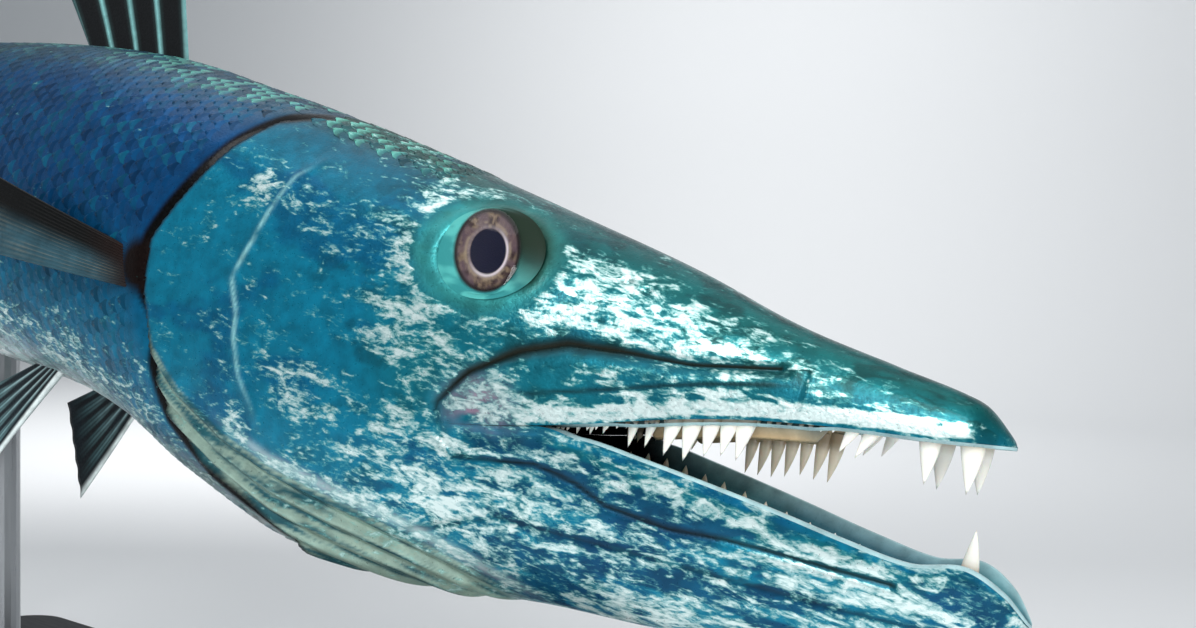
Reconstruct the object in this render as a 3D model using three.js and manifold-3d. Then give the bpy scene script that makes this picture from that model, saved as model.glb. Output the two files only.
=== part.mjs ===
// A great barracuda at life size, nose down with its mouth open, on a plain stand.
// Lengths are millimetres. The fish is made straight in its own frame: s runs backward
// from the tip of the upper jaw, y is its left and z is towards its back. It is then bent and pitched.
import * as THREE from "three";
import { mergeVertices } from "three/addons/utils/BufferGeometryUtils.js";
import Module from "manifold-3d";

const wasm = await Module();
wasm.setup();

// Driving sizes.
const tailBase = 1060;
const gap = 0.3;
const pitchDown = THREE.MathUtils.degToRad(10.5);
const rollAway = THREE.MathUtils.degToRad(8.5);
const snoutHeight = 220;
const snoutAhead = 470;
const tailSwing = THREE.MathUtils.degToRad(13);
const swingFrom = 430;

// Outlines of the fish, each a smooth line through a few stations [s, value].
const backLine = smoothLine([[0, 3], [10, 8], [36, 13], [68, 19], [106, 30], [149, 40], [208, 53],
  [262, 64], [321, 74], [406, 86], [520, 87], [640, 77], [760, 61], [860, 47], [960, 36], [tailBase, 39]]);
const bellyLine = smoothLine([[-13, -51], [-4, -61], [20, -69], [50, -76], [92, -84], [131, -90],
  [170, -99], [237, -106], [300, -97], [350, -84], [400, -79], [520, -80], [640, -72], [760, -57],
  [860, -43], [960, -33], [tailBase, -37]]);
const halfWidth = smoothLine([[0, 8], [10, 11], [36, 15], [68, 20], [106, 27], [149, 37], [208, 47],
  [262, 54], [321, 60], [420, 62], [520, 60], [640, 52], [760, 41], [860, 30], [960, 18], [tailBase, 9]]);
const widestHeight = smoothLine([[100, -24], [149, -22], [208, -20], [262, -12], [321, -4], [420, 2],
  [tailBase, 0]]);
const upperLip = smoothLine([[0, -2], [19, -5], [43, -8], [67, -12], [84, -16], [98, -20], [117, -26],
  [142, -33], [175, -40]]);
const lowerLip = smoothLine([[-13, -47], [-6, -40], [4, -36], [17, -39], [34, -38], [62, -35], [97, -32],
  [118, -31], [142, -35], [175, -41]]);
const lowerHalfWidth = smoothLine([[-13, 8], [-6, 11], [4, 14], [20, 17], [50, 20], [92, 27], [131, 34],
  [175, 42]]);
const jawEnd = 165;
const lipThickness = 4.5;

// Eye, lid and nostrils.
const eyeStation = 167;
const eyeHeight = 21;
const eyeRadius = 17;
const eyeDepth = 11;
const eyeReach = 34.5;
const eyeTilt = 0.36;
const lidRise = 2;
const nostrilStations = [112, 119];

// Lines in the side view, [s, z], along which the head is parted.
const mouthCornerCut = [[128, -29], [150, -36.5], [167, -42], [184, -56], [197, -74], [205, -92],
  [211, -125]];
const upperJawCut = [[166, -43], [170, -31], [164, -18], [146, -9], [118, -6], [86, -1], [54, 5],
  [28, 10], [14, 20]];
const gillSlit = [[258, 95], [268, 60], [283, 54], [291, 40], [299, 20], [309, -2], [307, -22], [300, -42],
  [291, -66], [274, -81], [240, -122]];
const throatCut = [[203, -88], [225, -77], [250, -69], [272, -63], [290, -55], [308, -45]];
const slitWidth = 2.4;

// Gill cover: how far down the side it reaches, as a share of the half girth, and its front edge.
const coverTop = 0.2;
const coverFoot = 0.9;
const coverFront = smoothLine([[0.15, 250], [0.3, 256], [0.49, 265], [0.6, 252], [0.8, 222], [0.95, 200]]);
const coverEnd = 330;
const coverThickness = 5;

const trunkParts = ["trunk_shoulder", "trunk_middle", "trunk_rear", "tail_stalk"];
const trunkCuts = [470, 680, 880];
const bodyStations = [150, 163, 178, 193, 208, 226, 244, 262, 280, 300, 320, 342, 368, 398, 432, 469, 471,
  510, 560, 610, 655, 679, 681, 720, 770, 820, 860, 879, 881, 920, 965, 1010, tailBase];
const girthCount = 28;

// Stand.
const baseLength = 560;
const baseWidth = 250;
const baseThickness = 22;
const baseCorner = 40;
const rodRadius = 8;
const rodStations = [505, 705];

// A smooth line through stations: a cubic in each span, with slopes taken across its neighbours.
function smoothLine(stations) {
  const last = stations.length - 1;
  const slope = (i) => {
    const [a, b] = [stations[Math.max(0, i - 1)], stations[Math.min(last, i + 1)]];
    return (b[1] - a[1]) / (b[0] - a[0]);
  };
  return (s) => {
    const x = Math.min(Math.max(s, stations[0][0]), stations[last][0]);
    let i = 0;
    while (i < last - 1 && x > stations[i + 1][0]) i++;
    const [[x0, y0], [x1, y1]] = [stations[i], stations[i + 1]];
    const span = x1 - x0;
    const t = (x - x0) / span;
    const rise = (1 - t) * (1 - t);
    return y0 * (1 + 2 * t) * rise + slope(i) * span * t * rise
      + y1 * t * t * (3 - 2 * t) + slope(i + 1) * span * t * t * (t - 1);
  };
}

const spread = (low, high, count) => Array.from({ length: count },
  (_, i) => low + (high - low) * i / (count - 1));
const point = (s, y, z) => new THREE.Vector3(-s, y, z);
const joined = (solids) => solids.reduce((sum, solid) => sum.add(solid));
const largest = (solid) => solid.decompose().sort((a, b) => b.volume() - a.volume())[0];

// A closed solid through rings of points, with a fan over each end.
function ringSolid(rings) {
  const count = rings[0].length;
  const points = rings.flat();
  const faces = [];
  for (let i = 0; i < rings.length - 1; i++) {
    for (let j = 0; j < count; j++) {
      const [a, b] = [i * count + j, i * count + (j + 1) % count];
      faces.push(a, b, a + count, b, b + count, a + count);
    }
  }
  for (const end of [0, rings.length - 1]) {
    const centre = rings[end].reduce((sum, p) => sum.add(p), new THREE.Vector3()).divideScalar(count);
    const hub = points.push(centre) - 1;
    for (let j = 0; j < count; j++) {
      const [a, b] = [end * count + j, end * count + (j + 1) % count];
      faces.push(...(end ? [a, b, hub] : [b, a, hub]));
    }
  }
  return solidFrom(points, faces);
}

// A closed solid between an outer and an inner grid of points, split into triangles alike on both faces.
function sheetSolid(outer, inner) {
  const [rows, columns] = [outer.length, outer[0].length];
  const points = [...outer.flat(), ...inner.flat()];
  const under = rows * columns;
  const faces = [];
  const quad = (a, b, c, d) => faces.push(a, b, c, a, c, d);
  for (let i = 0; i < rows - 1; i++) {
    for (let j = 0; j < columns - 1; j++) {
      const a = i * columns + j;
      const [b, c, d] = [a + 1, a + columns + 1, a + columns];
      quad(a, b, c, d);
      faces.push(under + a, under + c, under + b, under + a, under + d, under + c);
    }
  }
  const edge = [
    ...spread(0, columns - 1, columns),
    ...spread(1, rows - 1, rows - 1).map((i) => i * columns + columns - 1),
    ...spread(columns - 2, 0, columns - 1).map((j) => (rows - 1) * columns + j),
    ...spread(rows - 2, 1, rows - 2).map((i) => i * columns)];
  edge.forEach((a, i) => {
    const b = edge[(i + 1) % edge.length];
    quad(a, under + a, under + b, b);
  });
  return solidFrom(points, faces);
}

function solidFrom(points, faces) {
  return toSolid(new THREE.BufferGeometry().setFromPoints(points).setIndex(faces));
}

// A closed three.js geometry as a solid that can be joined and cut.
function toSolid(geometry) {
  const bare = geometry.clone();
  bare.deleteAttribute("normal");
  bare.deleteAttribute("uv");
  const merged = mergeVertices(bare, 1e-4);
  const index = merged.index.array;
  const kept = [];
  for (let i = 0; i < index.length; i += 3) {
    const [a, b, c] = index.slice(i, i + 3);
    if (a !== b && b !== c && c !== a) kept.push(a, b, c);
  }
  const vertProperties = new Float32Array(merged.attributes.position.array);
  const build = (faces) => new wasm.Manifold(
    new wasm.Mesh({ numProp: 3, vertProperties, triVerts: new Uint32Array(faces) }));
  const solid = build(kept);
  return solid.volume() > 0 ? solid : build(kept.reverse());
}

function toGeometry(solid) {
  const mesh = solid.getMesh();
  const position = new Float32Array(mesh.numVert * 3);
  for (let i = 0; i < mesh.numVert; i++) {
    position.set(mesh.vertProperties.subarray(i * mesh.numProp, i * mesh.numProp + 3), i * 3);
  }
  return new THREE.BufferGeometry().setAttribute("position", new THREE.BufferAttribute(position, 3))
    .setIndex(new THREE.BufferAttribute(new Uint32Array(mesh.triVerts), 1));
}

// One point of the body's skin: around is 0 along the back and pi along the belly, and grow moves it outward.
function skinPoint(s, around, grow = 0) {
  const middle = widestHeight(s);
  const [sine, cosine] = [Math.sin(around), Math.cos(around)];
  const reach = cosine > 0 ? backLine(s) + grow - middle : middle - bellyLine(s) + grow;
  const across = Math.sign(sine) * Math.abs(sine) ** 0.92;
  const upDown = Math.sign(cosine) * Math.abs(cosine) ** 0.96;
  return point(s, (halfWidth(s) + grow) * across, middle + reach * upDown);
}

function bodySolid(stations, count, grow = 0) {
  const angles = spread(0, 2 * Math.PI, count + 1).slice(0, count);
  return ringSolid(stations.map((s) => angles.map((around) => skinPoint(s, around, grow))));
}

// A jaw's section: the outer wall from its ridge to the lip, then the hollow inside back to the midline.
function jawRing(s, width, ridge, lip) {
  const wall = Math.min(lipThickness, width * 0.4);
  const outer = spread(0, Math.PI / 2, 8).map((a) => [
    width * Math.sin(a) ** 0.85, lip + (ridge - lip) * Math.cos(a) ** 0.9]);
  const arch = (ridge - lip) * 0.42;
  const inner = [0.98, 0.8, 0.4].map((t) => [(width - wall) * t, lip + arch * Math.sqrt(1 - t * t)]);
  const half = [...outer, ...inner];
  const left = half.map(([y, z]) => point(s, y, z));
  const right = half.slice(1).reverse().map(([y, z]) => point(s, -y, z));
  return [...left, point(s, 0, lip + arch), ...right];
}

// A jaw through stations that close up towards its tip, so that the tip comes out round.
function jawSolid(tip, width, ridge, lip) {
  const stations = spread(0, 1, 14).map((t) => tip + (jawEnd - tip) * t ** 1.6);
  return ringSolid(stations.map((s) => {
    const round = Math.sqrt(Math.min(1, (s - tip + 0.8) / 9));
    return jawRing(s, width(s) * round, lip(s) + (ridge(s) - lip(s)) * round, lip(s));
  }));
}

// The mouth's hollow behind its corners, towards the throat.
function mouthPocket() {
  const pocket = new THREE.SphereGeometry(1, 14, 8);
  pocket.scale(66, 27, 17);
  pocket.translate(-148, 0, -35);
  return toSolid(pocket);
}

// A slab that follows a line in the side view and parts whatever it crosses, thin at its first end.
function sideCut(line, width = gap, startWidth = width) {
  const path = new THREE.SplineCurve(line.map(([s, z]) => new THREE.Vector2(-s, z)));
  const steps = line.length * 3;
  const halfSpan = 90;
  return ringSolid(path.getPoints(steps).map((p, i) => {
    const along = path.getTangent(i / steps);
    const half = THREE.MathUtils.lerp(startWidth, width, THREE.MathUtils.smoothstep(i / steps, 0.2, 0.6)) / 2;
    const [x, z] = [along.y * half, -along.x * half];
    return [new THREE.Vector3(p.x - x, -halfSpan, p.y - z), new THREE.Vector3(p.x - x, halfSpan, p.y - z),
      new THREE.Vector3(p.x + x, halfSpan, p.y + z), new THREE.Vector3(p.x + x, -halfSpan, p.y + z)];
  }));
}

function trunkCut(s) {
  return toSolid(new THREE.BoxGeometry(gap, 200, 260).translate(-s, 0, 0));
}

// The eye: a sphere flattened sideways. side is 1 on the left.
function eyeSolid(side, grow = 0) {
  const eye = new THREE.SphereGeometry(1, 20, 12);
  eye.rotateX(Math.PI / 2);
  eye.scale(eyeRadius + grow, eyeDepth + grow, eyeRadius + grow);
  eye.translate(0, -eyeDepth, 0);
  return toSolid(setInHead(eye, side));
}

// A ring of skin round the eye, a little proud of the head.
function lidSolid(side) {
  const lid = new THREE.TorusGeometry(eyeRadius + 1.5, lidRise + 1, 6, 22);
  lid.rotateX(Math.PI / 2);
  lid.scale(1.12, 1, 1);
  lid.translate(0, -5, 0);
  return toSolid(setInHead(lid, side));
}

// Turns what faces straight out to the head's own slope, a little forward and up, and sets it at the eye.
function setInHead(geometry, side) {
  geometry.rotateZ(-0.16);
  geometry.rotateX(eyeTilt);
  geometry.translate(-eyeStation, eyeReach, eyeHeight);
  return side > 0 ? geometry : geometry.applyMatrix4(new THREE.Matrix4().makeScale(1, -1, 1));
}

function nostrils() {
  return joined([1, -1].flatMap((side) => nostrilStations.map((s, i) => {
    const pit = new THREE.SphereGeometry(1.3 + 0.5 * i, 8, 6);
    pit.scale(1.3, 1.4, 1);
    pit.translate(-s, side * (halfWidth(s) - 3.2), backLine(s) - 13);
    return toSolid(pit);
  })));
}

// A gill cover's block: a grid over the side of the head, from above the skin to the cover's inner face.
function coverBlock(side, grow = 0) {
  const shares = spread(coverTop - grow / 150, coverFoot, 13);
  const layer = (lift) => shares.map((share) => spread(0, 1, 6).map((t) => {
    const s = THREE.MathUtils.lerp(coverFront(share) - grow, coverEnd, t);
    const p = skinPoint(s, share * Math.PI, lift);
    p.y *= side;
    return p;
  }));
  return sheetSolid(layer(6), layer(-coverThickness - grow));
}

// A tooth: a flattened cone whose root is sunk in the jaw. lean tips its point backward.
function tooth({ s, y, z, height, width, lean = 0, turn = 1 }) {
  const sink = 3;
  const cone = new THREE.ConeGeometry(width / 2, height + sink, 6);
  cone.scale(1, 1, 0.6);
  cone.translate(0, (height - sink) / 2, 0);
  cone.rotateX(turn * Math.PI / 2);
  cone.rotateY(turn * lean);
  return toSolid(cone.translate(-s, y, z));
}

// Both sides of a row of teeth. size gives a tooth's height at a share of the row.
function toothRow({ from, to, count, inset, width, lip, size, turn, lean = 0, stout = 0.36 }) {
  return spread(from, to, count).flatMap((s, i) => [1, -1].map((side) => {
    const height = size(i / (count - 1)) * (1 + 0.08 * Math.sin(7 * i + 2 * side));
    const y = side * (width(s) - inset);
    return tooth({ s, y, z: lip(s), turn, lean, height, width: 1 + stout * height });
  }));
}

function upperTeeth() {
  const palate = (s) => upperLip(s) + 1.5;
  const row = { width: halfWidth, lip: palate, turn: -1 };
  return [
    ...toothRow({ ...row, from: 70, to: 91, count: 5, inset: 4.5, size: () => 12 }),
    ...toothRow({ ...row, from: 98.5, to: 104, count: 2, inset: 5, size: () => 9.5 }),
    ...toothRow({ ...row, from: 35, to: 40, count: 2, inset: 4, size: () => 10, lean: 0.3 }),
    ...toothRow({ ...row, from: 10.5, to: 21, count: 2, inset: 5, size: () => 13.5, lean: -0.15 }),
    ...toothRow({ ...row, from: 112, to: 134, count: 6, inset: 4, size: () => 4.5, stout: 0.3 }),
    ...toothRow({ ...row, from: 46, to: 132, count: 15, inset: 2.6, lip: upperLip, size: () => 2.2,
      stout: 0.2 })];
}

function lowerTeeth() {
  const row = { width: lowerHalfWidth, lip: (s) => lowerLip(s) - 4, turn: 1 };
  const size = (t) => 3.5 + 1.5 * Math.sin(Math.PI * t);
  const sides = toothRow({ ...row, from: 26, to: 130, count: 11, inset: 6.5, size });
  return [...sides, tooth({ s: 5, y: 0, z: lowerLip(5) - 2, height: 12, width: 5, turn: 1 })];
}

// A fin: rays fan out from a base line to an edge line, raised as ridges on a thin membrane.
// base and edge give points for a share across the fin. Its faces look along the normal of their plane.
// bow curves the edge along that normal, and arch the middle.
function finSolid({ base, edge, rays, root, tip = 0.5, bow = 0, arch = 0, rowCount = 6, rise = 0.5 }) {
  const reach = edge(0.5).sub(base(0.5));
  const normal = base(1).sub(base(0)).cross(reach).normalize();
  const layer = (side) => spread(0, 1, 2 * rays - 1).map((share, i) => spread(0, 1, rowCount).map((t) => {
    const ridge = i % 2 === 0 ? rise * (1 - 0.7 * t) : 0;
    const half = THREE.MathUtils.lerp(root, tip, t ** 0.7) / 2 + ridge;
    const curve = bow * t * t + arch * 4 * t * (1 - t);
    return base(share).lerp(edge(share), t).addScaledVector(normal, curve + side * half);
  }));
  return sheetSolid(layer(1), layer(-1));
}

const sunk = 6;

// A fin on the fish's midline. up is 1 on the back and -1 on the belly.
function midlineFin({ from, to, up, rays, tall, low, sweep, notch = 0 }) {
  const line = up > 0 ? backLine : bellyLine;
  const station = (share) => from + (to - from) * share;
  return finSolid({
    base: (share) => point(station(share), 0, line(station(share)) - up * sunk),
    edge: (share) => {
      const height = THREE.MathUtils.lerp(tall, low, share ** 0.8) - notch * Math.sin(Math.PI * share);
      return point(station(share) + sweep * (1 - 0.25 * share), 0, line(station(share)) + up * height);
    },
    rays, root: 4 });
}

const firstDorsal = { from: 404, to: 488, up: 1, rays: 5, tall: 100, low: 30, sweep: 52 };
const secondDorsal = { from: 716, to: 800, up: 1, rays: 10, tall: 92, low: 30, sweep: 52, notch: 26 };
const analFin = { from: 726, to: 804, up: -1, rays: 9, tall: 88, low: 28, sweep: 50, notch: 24 };

// One lobe of the tail fin, from its outer edge to the middle of the fork.
function tailLobe(up) {
  const [lobe, fork] = [168, 78];
  return finSolid({
    base: (share) => point(tailBase - 14, 0, up * THREE.MathUtils.lerp(32, gap / 2, share)),
    edge: (share) => {
      const out = 1 - share;
      const hind = fork + (lobe - fork) * out ** 1.15 - 9 * Math.sin(Math.PI * out) ** 2;
      return point(tailBase + hind, 0, up * (gap / 2 + 158 * out ** 1.2));
    },
    rays: 10, root: 15, tip: 0.6, rowCount: 8, rise: 0.7 });
}

// The paired fins are given on the left, and side -1 mirrors them to the right.
function pectoralFin(side) {
  return finSolid({
    base: (share) => point(318 - 1.5 * share, side * 54, -7 - 17 * share),
    edge: (share) => point(428 - 40 * share ** 1.3, side * (84 - 4 * share), 15 - 30 * share),
    rays: 13, root: 5, bow: -4 * side, arch: 5 * side });
}

function pelvicFin(side) {
  return finSolid({
    base: (share) => point(400 + 16 * share, side * (24 - 2 * share), -64 - 2 * share),
    edge: (share) => point(452 + 26 * share, side * (32 - 4 * share), -146 + 46 * share),
    rays: 6, root: 4.5, bow: 3 * side });
}

// The swimming bend: behind swingFrom the spine curves to the left, then back a little at the tail.
const swing = (s) => {
  const t = THREE.MathUtils.clamp((s - swingFrom) / (tailBase - swingFrom), 0, 1.4);
  return tailSwing * (t * t * (3 - 2 * Math.min(t, 1)) - 0.55 * Math.sin(Math.PI * Math.min(t, 1)));
};
const spineStep = 5;
const spine = [[0, 0]];
for (let s = 0; s < tailBase + 250; s += spineStep) {
  const [x, y] = spine[spine.length - 1];
  const angle = swing(s + spineStep / 2);
  spine.push([x - Math.cos(angle) * spineStep, y + Math.sin(angle) * spineStep]);
}

function spineAt(s) {
  if (s <= 0) return [-s, 0];
  const i = Math.min(Math.floor(s / spineStep), spine.length - 2);
  const t = s / spineStep - i;
  return [0, 1].map((k) => THREE.MathUtils.lerp(spine[i][k], spine[i + 1][k], t));
}

const stance = new THREE.Matrix4().makeTranslation(snoutAhead, 0, snoutHeight)
  .multiply(new THREE.Matrix4().makeRotationY(pitchDown))
  .multiply(new THREE.Matrix4().makeRotationX(-rollAway));

// Takes a solid of the straight fish to its pose on the stand.
function posed(solid) {
  const geometry = toGeometry(solid);
  const position = geometry.attributes.position;
  for (let i = 0; i < position.count; i++) {
    const [s, y, z] = [-position.getX(i), position.getY(i), position.getZ(i)];
    const [x0, y0] = spineAt(s);
    const angle = swing(s);
    position.setXYZ(i, x0 + y * Math.sin(angle), y0 + y * Math.cos(angle), z);
  }
  return geometry.applyMatrix4(stance);
}

// Joins the jaws to the body, hollows the mouth and sets the lids, then parts the whole along its cuts.
function partedBody() {
  const trunk = bodySolid(bodyStations, girthCount);
  const upper = jawSolid(0, halfWidth, backLine, upperLip);
  const lower = jawSolid(-13, lowerHalfWidth, bellyLine, lowerLip);
  const eyes = [1, -1].map((side) => eyeSolid(side, gap));
  const whole = joined([trunk, upper, lower, lidSolid(1), lidSolid(-1)])
    .subtract(joined([mouthPocket(), nostrils(), ...eyes]));
  const cuts = [sideCut(gillSlit, slitWidth, gap), sideCut(mouthCornerCut), sideCut(upperJawCut),
    sideCut(throatCut), ...trunkCuts.map(trunkCut)];
  const parts = whole.subtract(joined(cuts)).decompose();
  const at = (s, z) => parts.filter((part) => {
    const probe = toSolid(new THREE.BoxGeometry(1, 200, 1).translate(-s, 0, z));
    return part.intersect(probe).volume() > 1;
  }).sort((a, b) => b.volume() - a.volume())[0];
  return {
    head: at(200, 20), upper_jaw: at(60, -8), lower_jaw: at(100, -70), throat: at(235, -95),
    trunk_shoulder: at(400, 0), trunk_middle: at(600, 0), trunk_rear: at(780, 0), tail_stalk: at(1000, 0) };
}

const body = partedBody();
const covers = [1, -1].map((side) => largest(body.head.intersect(coverBlock(side))));
const skull = largest(body.head.subtract(joined([1, -1].map((side) => coverBlock(side, gap)))));
const grownBody = bodySolid([...bodyStations.filter((s) => s > 290), tailBase + gap], girthCount, gap);
const rooted = (fin) => largest(fin.subtract(grownBody));

const flesh = {
  head: skull,
  gill_cover_left: covers[0],
  gill_cover_right: covers[1],
  throat: body.throat,
  upper_jaw: largest(joined([body.upper_jaw, ...upperTeeth()])),
  lower_jaw: largest(joined([body.lower_jaw, ...lowerTeeth()])),
  ...Object.fromEntries(trunkParts.map((name) => [name, body[name]])),
};
const eyes = { eye_left: eyeSolid(1), eye_right: eyeSolid(-1) };
const fins = {
  dorsal_fin_first: rooted(midlineFin(firstDorsal)),
  dorsal_fin_second: rooted(midlineFin(secondDorsal)),
  anal_fin: rooted(midlineFin(analFin)),
  tail_fin_upper: rooted(tailLobe(1)),
  tail_fin_lower: rooted(tailLobe(-1)),
  pectoral_fin_left: rooted(pectoralFin(1)),
  pectoral_fin_right: rooted(pectoralFin(-1)),
  pelvic_fin_left: rooted(pelvicFin(1)),
  pelvic_fin_right: rooted(pelvicFin(-1)),
};

function standBase() {
  const [x, y] = [baseLength / 2 - baseCorner, baseWidth / 2 - baseCorner];
  const outline = new THREE.Shape();
  [[x, y, 0], [-x, y, 1], [-x, -y, 2], [x, -y, 3]].forEach(([cx, cy, quarter]) =>
    outline.absarc(cx, cy, baseCorner, quarter * Math.PI / 2, (quarter + 1) * Math.PI / 2));
  return new THREE.ExtrudeGeometry(outline, { depth: baseThickness, bevelEnabled: false, curveSegments: 6 });
}

// A rod from the base up to the belly, cut to the belly's own curve.
function standRod(s, hull) {
  const foot = new THREE.Vector3(...spineAt(s), bellyLine(s)).applyMatrix4(stance);
  const bottom = baseThickness + gap;
  const rod = new THREE.CylinderGeometry(rodRadius, rodRadius, foot.z + 12 - bottom, 16);
  rod.rotateX(Math.PI / 2);
  rod.translate(foot.x, foot.y, (foot.z + 12 + bottom) / 2);
  return toGeometry(largest(toSolid(rod).subtract(hull)));
}

const finish = {
  skin: { color: 0x2f7f9c, roughness: 0.35, metalness: 0.3 },
  jaw: { color: 0x9fc7cc, roughness: 0.35, metalness: 0.3 },
  eye: { color: 0x14152a, roughness: 0.08, metalness: 0 },
  fin: { color: 0x101418, roughness: 0.5, metalness: 0 },
  stand: { color: 0x2b2b2d, roughness: 0.55, metalness: 0 },
  rod: { color: 0x8d9196, roughness: 0.3, metalness: 0.9 },
};

const barracuda = new THREE.Group();

function place(name, geometry, look) {
  const mesh = new THREE.Mesh(geometry, new THREE.MeshStandardMaterial(finish[look]));
  mesh.name = name;
  barracuda.add(mesh);
}

for (const [name, solid] of Object.entries(flesh)) {
  place(name, posed(solid), name.endsWith("jaw") ? "jaw" : "skin");
}
for (const [name, solid] of Object.entries(eyes)) place(name, posed(solid), "eye");
for (const [name, solid] of Object.entries(fins)) place(name, posed(solid), "fin");

const posedHull = toSolid(posed(grownBody));
place("stand_base", standBase(), "stand");
place("stand_rod_front", standRod(rodStations[0], posedHull), "rod");
place("stand_rod_rear", standRod(rodStations[1], posedHull), "rod");

export default barracuda;
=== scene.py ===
"""Looks for a great barracuda on its display stand: one skin, scales, eyes, teeth, fins and a studio.

The fish is worked out straight, in millimetres: s runs backward from the tip of the upper jaw, y is
to its left and z towards its back. place() then gives it its swimming bend and its pose, in metres.
"""

import itertools

import bpy
import numpy as np
from bpy.props import FloatProperty, FloatVectorProperty, IntProperty, PointerProperty
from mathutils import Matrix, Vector


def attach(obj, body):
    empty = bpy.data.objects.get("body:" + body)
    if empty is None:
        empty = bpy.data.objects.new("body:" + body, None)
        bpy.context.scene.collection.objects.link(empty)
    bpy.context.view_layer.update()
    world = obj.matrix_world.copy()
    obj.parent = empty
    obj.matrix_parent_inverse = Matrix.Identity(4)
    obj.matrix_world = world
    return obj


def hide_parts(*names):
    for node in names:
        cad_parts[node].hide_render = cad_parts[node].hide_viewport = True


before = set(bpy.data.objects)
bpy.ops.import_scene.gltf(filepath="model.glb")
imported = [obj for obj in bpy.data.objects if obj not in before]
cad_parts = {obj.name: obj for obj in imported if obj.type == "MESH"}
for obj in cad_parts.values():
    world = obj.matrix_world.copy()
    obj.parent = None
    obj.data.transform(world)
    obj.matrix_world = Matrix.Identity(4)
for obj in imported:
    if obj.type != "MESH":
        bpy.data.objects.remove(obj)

bl_info = {
    "name": "Barracuda model",
    "version": (1, 0, 0),
    "blender": (4, 5, 0),
    "location": "3D View > Sidebar > Barracuda",
    "description": "Builds the skin, scales, eyes, teeth, fins, stand and studio of a great barracuda",
    "category": "Object",
}

MM = 0.001
TAIL_BASE = 1060
PITCH_DOWN = np.radians(10.5)
ROLL_AWAY = np.radians(8.5)
SNOUT = np.array([470, 0, 220])
TAIL_SWING = np.radians(13)
SWING_FROM = 430
MOUTH_END = 172
LOWER_TIP = -12.8
TRUNK_START = 330
SCALES_START = 196.0
JAW_ROUND = 13
LIP_THICKNESS = 4.5
FLESH = ("head", "upper_jaw", "lower_jaw", "throat", "gill_cover_left", "gill_cover_right",
         "trunk_shoulder", "trunk_middle", "trunk_rear", "tail_stalk")


# Lines, noise and placing


def smooth_line(*stations):
    """A function of s through the stations: in each span a cubic, with slopes taken across its neighbours."""
    x, v = np.array(stations, float).T
    n = len(x) - 1
    low, high = np.maximum(np.arange(n + 1) - 1, 0), np.minimum(np.arange(n + 1) + 1, n)
    slope = (v[high] - v[low]) / (x[high] - x[low])

    def at(s):
        s = np.clip(s, x[0], x[n])
        i = np.clip(np.searchsorted(x, s, side="right") - 1, 0, n - 1)
        span = x[i + 1] - x[i]
        t = (s - x[i]) / span
        rise = (1 - t) ** 2
        return (v[i] * (1 + 2 * t) * rise + slope[i] * span * t * rise
                + v[i + 1] * t * t * (3 - 2 * t) + slope[i + 1] * span * t * t * (t - 1))
    return at


# The fish's lines, as (s, value): its outline, half widths, height of its greatest width, and lips.
BACK = smooth_line((0, 3), (10, 8), (36, 13), (68, 19), (106, 30), (149, 40), (208, 53), (262, 64),
                   (321, 74), (406, 86), (520, 87), (640, 77), (760, 61), (860, 47), (960, 36),
                   (TAIL_BASE, 39))
BELLY = smooth_line((-13, -51), (-4, -61), (20, -69), (50, -76), (92, -84), (131, -90), (170, -99),
                    (237, -106), (300, -97), (350, -84), (400, -79), (520, -80), (640, -72), (760, -57),
                    (860, -43), (960, -33), (TAIL_BASE, -37))
HALF_WIDTH = smooth_line((0, 8), (10, 11), (36, 15), (68, 20), (106, 27), (149, 37), (208, 47), (262, 54),
                         (321, 60), (420, 62), (520, 60), (640, 52), (760, 41), (860, 30), (960, 18),
                         (TAIL_BASE, 9))
WIDEST = smooth_line((100, -24), (149, -22), (208, -20), (262, -12), (321, -4), (420, 2), (TAIL_BASE, 0))
UPPER_LIP = smooth_line((0, -2), (19, -5), (43, -8), (67, -12), (84, -16), (98, -20), (117, -26),
                        (142, -33), (175, -40))
LOWER_LIP = smooth_line((-13, -47), (-6, -40), (4, -36), (17, -39), (34, -38), (62, -35), (97, -32),
                        (118, -31), (142, -35), (175, -41))
LOWER_WIDTH = smooth_line((-13, 8), (-6, 11), (4, 14), (20, 17), (50, 20), (92, 27), (131, 34), (175, 42))


def lip_line(s, lower):
    """The lip's height. The lower one rises to meet the upper one at the mouth's corner."""
    met = LOWER_LIP(s) + (UPPER_LIP(s) - 0.3 - LOWER_LIP(s)) * ramp(116, 132, s)
    return np.where(lower, met, UPPER_LIP(s))


# Lines in the side view, as (s, z).
GILL_MARGIN = [(258, 95), (268, 60), (283, 54), (291, 40), (299, 20), (309, -2), (307, -22), (300, -42),
               (291, -66), (274, -81), (250, -89), (236, -96), (222, -110)]
MAXILLA_GROOVE = [(64, 4), (90, -1), (109, -2), (129, -4), (144, -10), (159, -20), (168, -32), (165, -41),
                  (157, -46)]
JAW_GROOVE = [(158, -47), (129, -42), (115, -44), (104, -48), (84, -49), (67, -47), (43, -46), (20, -45)]
JAW_LOWER_GROOVE = [(176, -78), (140, -62), (104, -60), (70, -58), (36, -56), (8, -54)]
THROAT_FOLD = [(306, -27), (298, -42), (284, -55), (262, -65), (236, -72), (206, -75), (176, -78), (148, -83),
               (126, -88)]
PREOPERCLE = [(250, 40), (256, 33), (260, 6), (264, -9), (258, -21), (257, -30), (252, -43), (240, -58)]


def ramp(low, high, x):
    """0 below low, 1 above high, and 3t²-2t³ between."""
    t = np.clip((x - low) / (high - low), 0, 1)
    return t * t * (3 - 2 * t)


def bump(x, width):
    """A bell of height 1 round x = 0."""
    return np.exp(-(x / width) ** 2)


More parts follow.
